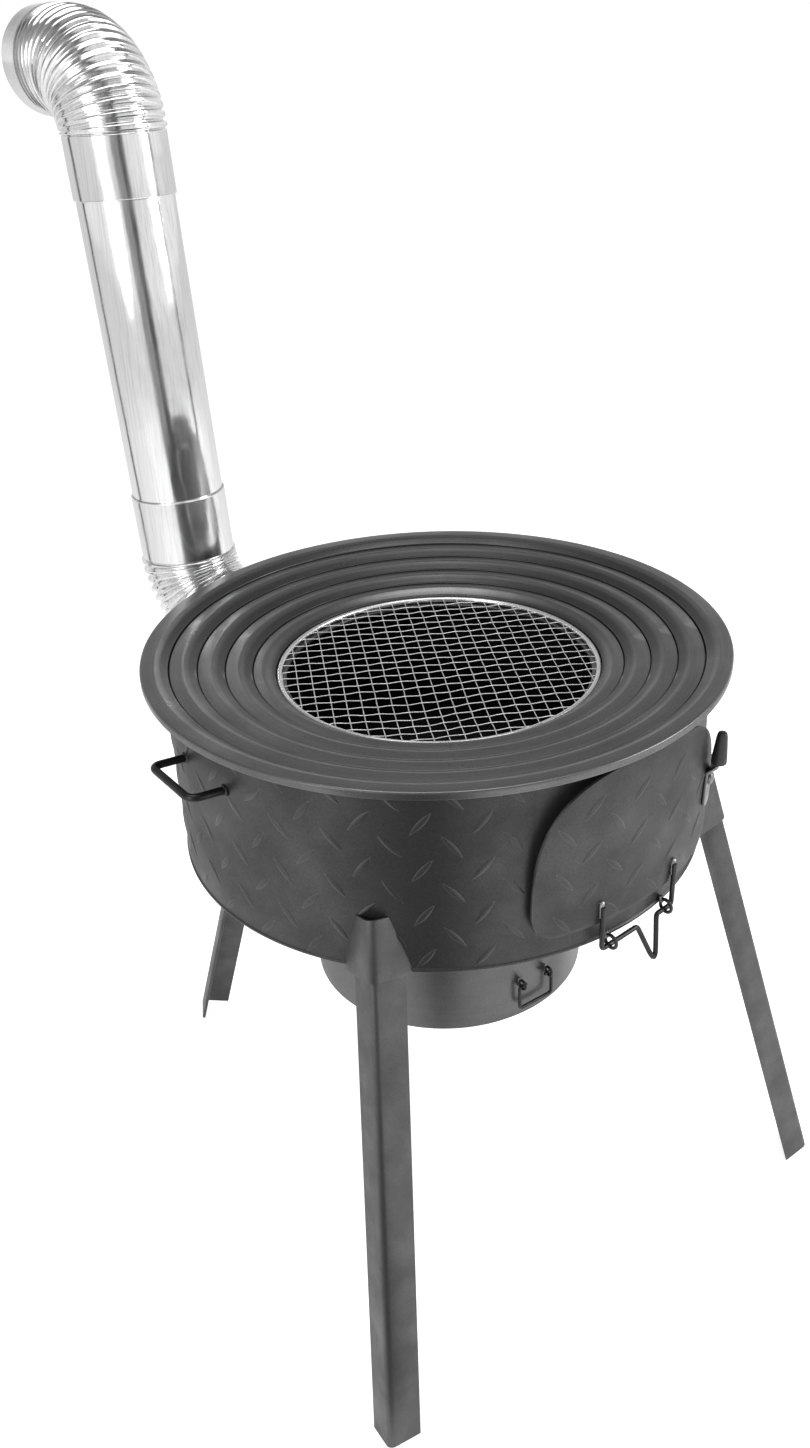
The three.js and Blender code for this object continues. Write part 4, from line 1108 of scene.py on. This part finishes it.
def build_pan():
    s = sizes()
    looks = finishes()
    steel, wire, weld = looks["pan_steel_cold_rolled"], looks["wire_steel_drawn"], looks["weld_metal"]
    low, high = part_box("ash_pan")
    radius = (high.x - low.x) / 2
    sheet, bend = 0.001, 0.0025
    cup = [
        (0, low.z), (radius - bend, low.z, 0.001), (radius, low.z + bend, 0.001), (radius, high.z, 0.0003),
        (radius - sheet, high.z, 0.0003), (radius - sheet, low.z + bend, 0.001),
        (radius - bend, low.z + sheet, 0.001), (0, low.z + sheet)]
    add_piece("pan_cup", mesh_of(solid_lathe(cup, 0.0003, 192)), "pan", "pan_steel", steel,
              replaced=["ash_pan"], sharp=50)
    azimuth = Matrix.Rotation(math.radians(-95.2), 4, "Z")
    eye_side = 0.014
    out = math.sqrt(radius ** 2 - eye_side ** 2) + 0.0055
    height = s.drum_bottom - 0.106
    welds = []
    for side, name in ((-1, "pan_eye_left"), (1, "pan_eye_right")):
        centre = Vector((out, side * eye_side, height))
        ring = sweep(loop(centre, Vector((1, 0, 0)), Vector((0, 0, 1)), 0.004), 0.0012, sides=10, ring=True)
        add_piece(name + "_ring", mesh_of(moved(ring, azimuth)), "pan", "grey_wire", wire, replaced=[name])
        spot = centre + Vector((-0.0046, 0, 0))
        reach = Vector((0, 0, 0.003))
        welds.append(weld_bead([spot - reach, spot, spot + reach], 0.0015, 31 + side))
    add_piece("pan_eye_welds", mesh_of(moved(joined(*welds), azimuth)), "pan", "grey_wire", weld)
    end, half, drop = 0.010, 0.017, -0.023
    corners = [(0, -end, 0), (0, -half, 0), (0, -half, drop), (0, half, drop), (0, half, 0), (0, end, 0)]
    path = [place + Vector((out, 0, height - 0.001)) for place in bent(corners, 0.0035)]
    add_piece("pan_handle", mesh_of(moved(sweep(path, 0.0015, sides=12), azimuth)), "bail", "grey_wire", wire,
              replaced=["pan_bail"])


def build_legs():
    steel = finishes()["angle_steel_hot_rolled"]
    for place in ("front_left", "front_right", "rear_left", "rear_right"):
        leg = finished(merged_copy("leg_" + place), bevel(0.0004, 45))
        add_piece("leg_bar_" + place, leg, place + "_leg", "leg_steel", steel, replaced=["leg_" + place],
                  sharp=40)
        socket = finished(merged_copy("leg_socket_" + place), bevel(0.0004, 45))
        add_piece("leg_pocket_" + place, socket, "stove_body", "leg_steel", steel,
                  replaced=["leg_socket_" + place], sharp=40)


def build_handles():
    s = sizes()
    wire = finishes()["wire_steel_drawn"]
    out, root, half = s.drum_radius + 0.025, s.drum_radius - 0.0045, 0.029
    height = Matrix.Translation((0, 0, s.rim_top - 0.043))
    for side, name in enumerate(("side_handle_left", "side_handle_right")):
        place = height @ Matrix.Rotation(math.radians(175.5 + 180 * side), 4, "Z")
        path = bent([(root, -half, 0), (out, -half, 0.003), (out, half, 0.003), (root, half, 0)], 0.008)
        add_piece(name + "_rod", mesh_of(moved(sweep(path, 0.003, sides=18), place)), "stove_body",
                  "leg_steel", wire, replaced=[name])
        beads = []
        for foot in (-half, half):
            centre = Vector((math.sqrt(s.drum_radius ** 2 - foot ** 2) + 0.0004, foot, 0.0002))
            ring = loop(centre, Vector((0, 1, 0)), Vector((0, 0, 1)), 0.0034, 14)
            beads.append(weld_bead(ring + ring[:1], 0.0013, 41 + side))
        add_piece(name + "_welds", mesh_of(moved(joined(*beads), place)), "stove_body", "leg_steel", wire)


def line_of(places):
    """A mesh of one line of points, to grow a tube on."""
    mesh = bpy.data.meshes.new("line")
    mesh.from_pydata([tuple(p) for p in places], [(i, i + 1) for i in range(len(places) - 1)], [])
    return mesh


def elbow_line(heading, turn, bend, first, last):
    """Points along an elbow in its own plane, with a straight sleeve before and after its bend, and where the
    bend starts and ends along it."""
    steps = 48
    side = 1 if turn > 0 else -1

    def ahead(angle, length):
        return Vector((math.cos(angle), 0, math.sin(angle))) * length

    def across(angle):
        return Vector((-math.sin(angle), 0, math.cos(angle))) * side * bend

    start = ahead(heading, first)
    centre = start + across(heading)
    places = [Vector((0, 0, 0)), start * 0.5, start]
    places += [centre - across(heading + turn * i / steps) for i in range(1, steps + 1)]
    places += [places[-1] + ahead(heading + turn, last * 0.5), places[-1] + ahead(heading + turn, last)]
    return places, first, first + abs(turn) * bend


def build_flue():
    s = sizes()
    looks = finishes()
    metal = looks["flue_aluminium_rolled"]
    add_piece("flue_spigot", merged_copy("flue_outlet"), "stove_body", "drum_steel",
              looks["tread_plate_hot_rolled"], replaced=["flue_outlet"], sharp=40)
    tree = ribbed_tube_tree()
    base = flue_turn()
    lean = math.radians(3.6)

    def add_elbow(name, body, node, place, places, **values):
        mesh = grown(tree, line_of([place @ p for p in places]), Plain=0.0410, Valley=0.0382, Crest=0.0424,
                     Material=metal, **values)
        add_piece(name, walled(mesh, 0.001), body, "flue_metal", metal, replaced=[node], sharp=70)

    # The lower elbow starts at the drum and ends upright, its bend's far end at a reach from the drum's axis.
    start = s.drum_radius + 0.0029
    bend, reach, sleeve = 0.062, 0.308, 0.055
    places, rib_start, rib_end = elbow_line(0, math.pi / 2 - lean, bend, reach - bend - start, sleeve)
    foot = Vector((start, 0, 0)) + places[-3]
    low_elbow = Matrix.Translation(AXIS) @ base @ Matrix.Translation((start, 0, 0))
    add_elbow("flue_elbow_low", "elbow_low", "lower_elbow", low_elbow, places, Ribs=s.lower_ribs,
              Start=rib_start, End=rib_end, Samples=260, Seed=2)
    # The upper elbow stands on the pipe, turned a little, and its ribs run on over its end collar.
    stack = base @ Matrix.Translation(foot) @ Matrix.Rotation(lean, 4, "Y")
    bend, sleeve, collar = 0.049, 0.047, 0.044
    places, rib_start, rib_end = elbow_line(math.pi / 2, lean - math.pi / 2, bend, sleeve, collar)
    high_elbow = Matrix.Translation(AXIS) @ stack @ Matrix.Translation((0, 0, 0.298))
    high_elbow = high_elbow @ Matrix.Rotation(math.radians(-9), 4, "Z")
    add_elbow("flue_elbow_high", "elbow_high", "upper_elbow", high_elbow, places, Ribs=s.upper_ribs + 4,
              Start=rib_start, End=rib_end + 0.022, Samples=300, Seed=6)
    # Each sleeve ends in a small rolled hem that closes on the pipe.
    inner, outer, half = 0.0396, 0.0412, 0.0007
    for number, (height, body) in enumerate(((0.0544, "elbow_low"), (0.2986, "elbow_high"))):
        hem = [(inner, height - half, 0.0003), (outer, height - half, 0.0006),
               (outer, height + half, 0.0006), (inner, height + half, 0.0003)]
        ring = mesh_of(moved(lathe(filleted(hem, 0.0003, 3), 96), stack))
        add_piece("sleeve_hem_" + str(number + 1), ring, body, "flue_metal", metal, sharp=60)
    inner, outer, low, high = 0.0384, 0.0394, 0.0013, 0.3437
    pipe = filleted([(inner, low), (outer, low), (outer, high), (inner, high)], 0.0003, 2)
    add_piece("flue_tube", mesh_of(moved(lathe(pipe, 128), stack)), "pipe", "flue_metal", metal,
              replaced=["flue_pipe"], sharp=50)


def walled(mesh, thickness):
    """An open tube with its seams joined and a wall thickness given."""
    wall = ("SOLIDIFY", {"thickness": thickness, "offset": -1.0})
    return finished(cleaned(mesh, 1e-6, outwards=True), wall)


# Stage


def ray_kinds(tree):
    """One for rays that the camera sees straight or through glass, and one for rays off bright metal."""
    camera, through, mirrored = (add_node(tree, "ShaderNodeLightPath", output=kind)
                                 for kind in ("Is Camera Ray", "Is Transmission Ray", "Is Glossy Ray"))
    return camera.math("MAXIMUM", through), mirrored


def lay_floor(scene):
    """White paper under the stove, which glows where the camera sees it and a little in bright metal."""
    studio = scene.stove_studio
    half, height = 30, -0.0004
    corners = [(-half, -half, height), (half, -half, height), (half, half, height), (-half, half, height)]
    floor = bpy.data.meshes.new("floor")
    floor.from_pydata(corners, [], [(0, 1, 2, 3)])
    paper = new_material("floor_paper")
    tree = paper.node_tree
    shade = add_node(tree, "ShaderNodeBsdfPrincipled", {
        "Base Color": (0.85, 0.85, 0.85, 1), "Roughness": 0.9})
    seen, mirrored = ray_kinds(tree)
    seen = seen.math("MAXIMUM", mirrored * studio.mirror_glow)
    glow = add_node(tree, "ShaderNodeEmission", {"Color": WHITE, "Strength": seen * studio.floor_glow})
    both = add_node(tree, "ShaderNodeAddShader", {0: shade, 1: glow})
    add_node(tree, "ShaderNodeOutputMaterial", {"Surface": both})
    floor.materials.append(paper)
    ground = bpy.data.objects.new("floor", floor)
    scene.collection.objects.link(ground)


def light_world(scene):
    """White for the camera, even light for the stove, and for bright metal a room that is pale at eye level
    and darker overhead."""
    world = bpy.data.worlds.new("studio")
    scene.world = world
    world.use_nodes = True
    tree = world.node_tree
    tree.nodes.clear()
    seen, glossy = ray_kinds(tree)
    way = add_node(tree, "ShaderNodeTexCoord", output="Generated")
    rise = way.split()[2].math("MULTIPLY_ADD", 0.5, 0.5)
    greys = ((0.5, 0.92), (0.6, 0.80), (0.72, 0.42), (0.86, 0.22), (0.97, 0.16))
    room = ramp(rise, [(place, (grey, grey, grey, 1)) for place, grey in greys])
    light = add_node(tree, "ShaderNodeMix", {
        "data_type": "FLOAT", 0: glossy, 2: scene.stove_studio.world_light, 3: room})
    strength = add_node(tree, "ShaderNodeMix", {"data_type": "FLOAT", 0: seen, 2: light, 3: 1.0})
    shade = add_node(tree, "ShaderNodeBackground", {"Color": WHITE, "Strength": strength})
    add_node(tree, "ShaderNodeOutputWorld", {"Surface": shade})


def hang_lamps(scene):
    """A main soft lamp on the right, a broad one overhead and a weak one on the left."""
    for name, place, size, share in (
            ("key_lamp", (1.5, -1.6, 1.5), 1.4, 1.0), ("top_lamp", (-0.1, -0.1, 2.2), 1.6, 0.55),
            ("left_lamp", (-2.0, -0.6, 1.2), 1.2, 0.4)):
        lamp = bpy.data.lights.new(name, "AREA")
        lamp.shape = "DISK"
        lamp.size = size
        lamp.energy = scene.stove_studio.key_light * share
        holder = bpy.data.objects.new(name, lamp)
        holder.location = Vector(place) + AXIS
        aim = Vector((0, 0, 0.45)) - Vector(place)
        holder.rotation_euler = aim.to_track_quat("-Z", "Y").to_euler()
        scene.collection.objects.link(holder)


def stand_cards(scene):
    """Cards out of the camera's sight, which bright metal mirrors as streaks. Each has its bearing from the
    camera's side of the flue, its distance from the flue, its width and height, and its grey."""
    flue = Vector((-0.035, 0.31, 0))
    camera = scene.stove_studio.camera_place
    ahead = math.atan2(camera[1] - flue.y, camera[0] - flue.x)
    for name, bearing, far, width, height, grey in (
            ("card_left", -114, 0.9, 0.12, 1.6, 0.10), ("card_right", 77, 0.9, 0.10, 1.6, 0.22),
            ("card_near", 1, 0.62, 0.30, 1.7, 0.30), ("card_core", 7, 0.60, 0.085, 1.7, 0.09)):
        paper = new_material(name + "_grey")
        shade = add_node(paper.node_tree, "ShaderNodeEmission", {
            "Color": (grey, grey, grey, 1), "Strength": 1.0})
        add_node(paper.node_tree, "ShaderNodeOutputMaterial", {"Surface": shade})
        card = bpy.data.meshes.new(name)
        corners = [(x * width / 2, 0, z * height) for x, z in ((-1, 0), (1, 0), (1, 1), (-1, 1))]
        card.from_pydata(corners, [], [(0, 1, 2, 3)])
        card.materials.append(paper)
        holder = bpy.data.objects.new(name, card)
        way = ahead + math.radians(bearing)
        holder.rotation_euler = (0, 0, way + math.pi / 2)
        holder.location = AXIS + flue + Vector((math.cos(way) * far, math.sin(way) * far, 0.001))
        for rays_seen in ("visible_camera", "visible_diffuse", "visible_shadow", "visible_transmission"):
            setattr(holder, rays_seen, False)
        scene.collection.objects.link(holder)


def place_camera(scene):
    """The camera as fitted to the photograph. Its view is shifted by shares of the frame's height."""
    studio = scene.stove_studio
    camera = bpy.data.cameras.new("camera")
    camera.lens = studio.lens
    camera.sensor_width = 36
    camera.sensor_fit = "AUTO"
    camera.clip_start = 0.05
    camera.clip_end = 200
    camera.shift_x = -0.0704
    camera.shift_y = 0.0311
    view = bpy.data.objects.new("camera", camera)
    turn, drop, roll = studio.camera_azimuth, studio.camera_drop, studio.camera_roll
    ahead = Vector((math.cos(turn) * math.cos(drop), math.sin(turn) * math.cos(drop), -math.sin(drop)))
    right = Vector((math.sin(turn), -math.cos(turn), 0))
    up = right.cross(ahead)
    right, up = right * math.cos(roll) + up * math.sin(roll), up * math.cos(roll) - right * math.sin(roll)
    axes = Matrix((right, up, -ahead)).transposed().to_4x4()
    view.matrix_world = Matrix.Translation(Vector(studio.camera_place) + AXIS) @ axes
    scene.collection.objects.link(view)
    scene.camera = view


def build_stage():
    scene = bpy.context.scene
    for step in (lay_floor, light_world, hang_lamps, stand_cards, place_camera):
        step(scene)
    scene.view_settings.view_transform = "Standard"


# Operators


class STOVE_OT_top(bpy.types.Operator):
    """Builds the rim and the four cooking rings"""

    bl_idname = "stove.top"
    bl_label = "Rim and rings"

    def execute(self, context):
        build_top()
        return {"FINISHED"}


class STOVE_OT_grill(bpy.types.Operator):
    """Builds the grill's rim wire and its woven net"""

    bl_idname = "stove.grill"
    bl_label = "Grill"

    def execute(self, context):
        build_grill()
        return {"FINISHED"}


class STOVE_OT_drum(bpy.types.Operator):
    """Builds the drum's wall with its tread marks, and finishes the floor, grate and collar"""

    bl_idname = "stove.drum"
    bl_label = "Drum"

    def execute(self, context):
        build_drum()
        return {"FINISHED"}


class STOVE_OT_door(bpy.types.Operator):
    """Builds the fuel door, its hinge wire and the eyes that carry it"""

    bl_idname = "stove.door"
    bl_label = "Fuel door"

    def execute(self, context):
        build_door()
        return {"FINISHED"}


class STOVE_OT_latch(bpy.types.Operator):
    """Builds the latch: lever, cap, rivet and hook"""

    bl_idname = "stove.latch"
    bl_label = "Latch"

    def execute(self, context):
        build_latch()
        return {"FINISHED"}


class STOVE_OT_pan(bpy.types.Operator):
    """Builds the ash pan, its eyes and its wire handle"""

    bl_idname = "stove.pan"
    bl_label = "Ash pan"

    def execute(self, context):
        build_pan()
        return {"FINISHED"}


class STOVE_OT_legs(bpy.types.Operator):
    """Builds the four legs and their sockets"""

    bl_idname = "stove.legs"
    bl_label = "Legs"

    def execute(self, context):
        build_legs()
        return {"FINISHED"}


class STOVE_OT_handles(bpy.types.Operator):
    """Builds the two side handles and their welds"""

    bl_idname = "stove.handles"
    bl_label = "Side handles"

    def execute(self, context):
        build_handles()
        return {"FINISHED"}


class STOVE_OT_flue(bpy.types.Operator):
    """Builds the flue: outlet, two ribbed elbows and the pipe"""

    bl_idname = "stove.flue"
    bl_label = "Flue"

    def execute(self, context):
        build_flue()
        return {"FINISHED"}


class STOVE_OT_stage(bpy.types.Operator):
    """Sets up the floor, the light and the camera"""

    bl_idname = "stove.stage"
    bl_label = "Stage"

    def execute(self, context):
        build_stage()
        return {"FINISHED"}


STEPS = (STOVE_OT_top, STOVE_OT_grill, STOVE_OT_drum, STOVE_OT_door, STOVE_OT_latch, STOVE_OT_pan,
         STOVE_OT_legs, STOVE_OT_handles, STOVE_OT_flue, STOVE_OT_stage)
GROUPS = {"stove_sizes": StoveSizes, "stove_colours": StoveColours, "stove_studio": StoveStudio}


class STOVE_PT_panel(bpy.types.Panel):
    """Sizes, colours and building steps of the stove"""

    bl_label = "Portable wood stove"
    bl_idname = "STOVE_PT_panel"
    bl_space_type = "VIEW_3D"
    bl_region_type = "UI"
    bl_category = "Stove"

    def draw(self, context):
        for group in GROUPS:
            box = self.layout.box()
            owner = getattr(context.scene, group)
            for name in owner.bl_rna.properties.keys():
                if name not in ("rna_type", "name"):
                    box.prop(owner, name)
        for step in STEPS:
            self.layout.operator(step.bl_idname)


def register():
    for group in (*GROUPS.values(), *STEPS, STOVE_PT_panel):
        bpy.utils.register_class(group)
    for name, group in GROUPS.items():
        setattr(bpy.types.Scene, name, PointerProperty(type=group))


def unregister():
    for name in GROUPS:
        delattr(bpy.types.Scene, name)
    for group in (STOVE_PT_panel, *STEPS[::-1], *list(GROUPS.values())[::-1]):
        bpy.utils.unregister_class(group)


def main():
    register()
    for step in STEPS:
        family, name = step.bl_idname.split(".")
        getattr(getattr(bpy.ops, family), name)()


if __name__ == "__main__":
    main()
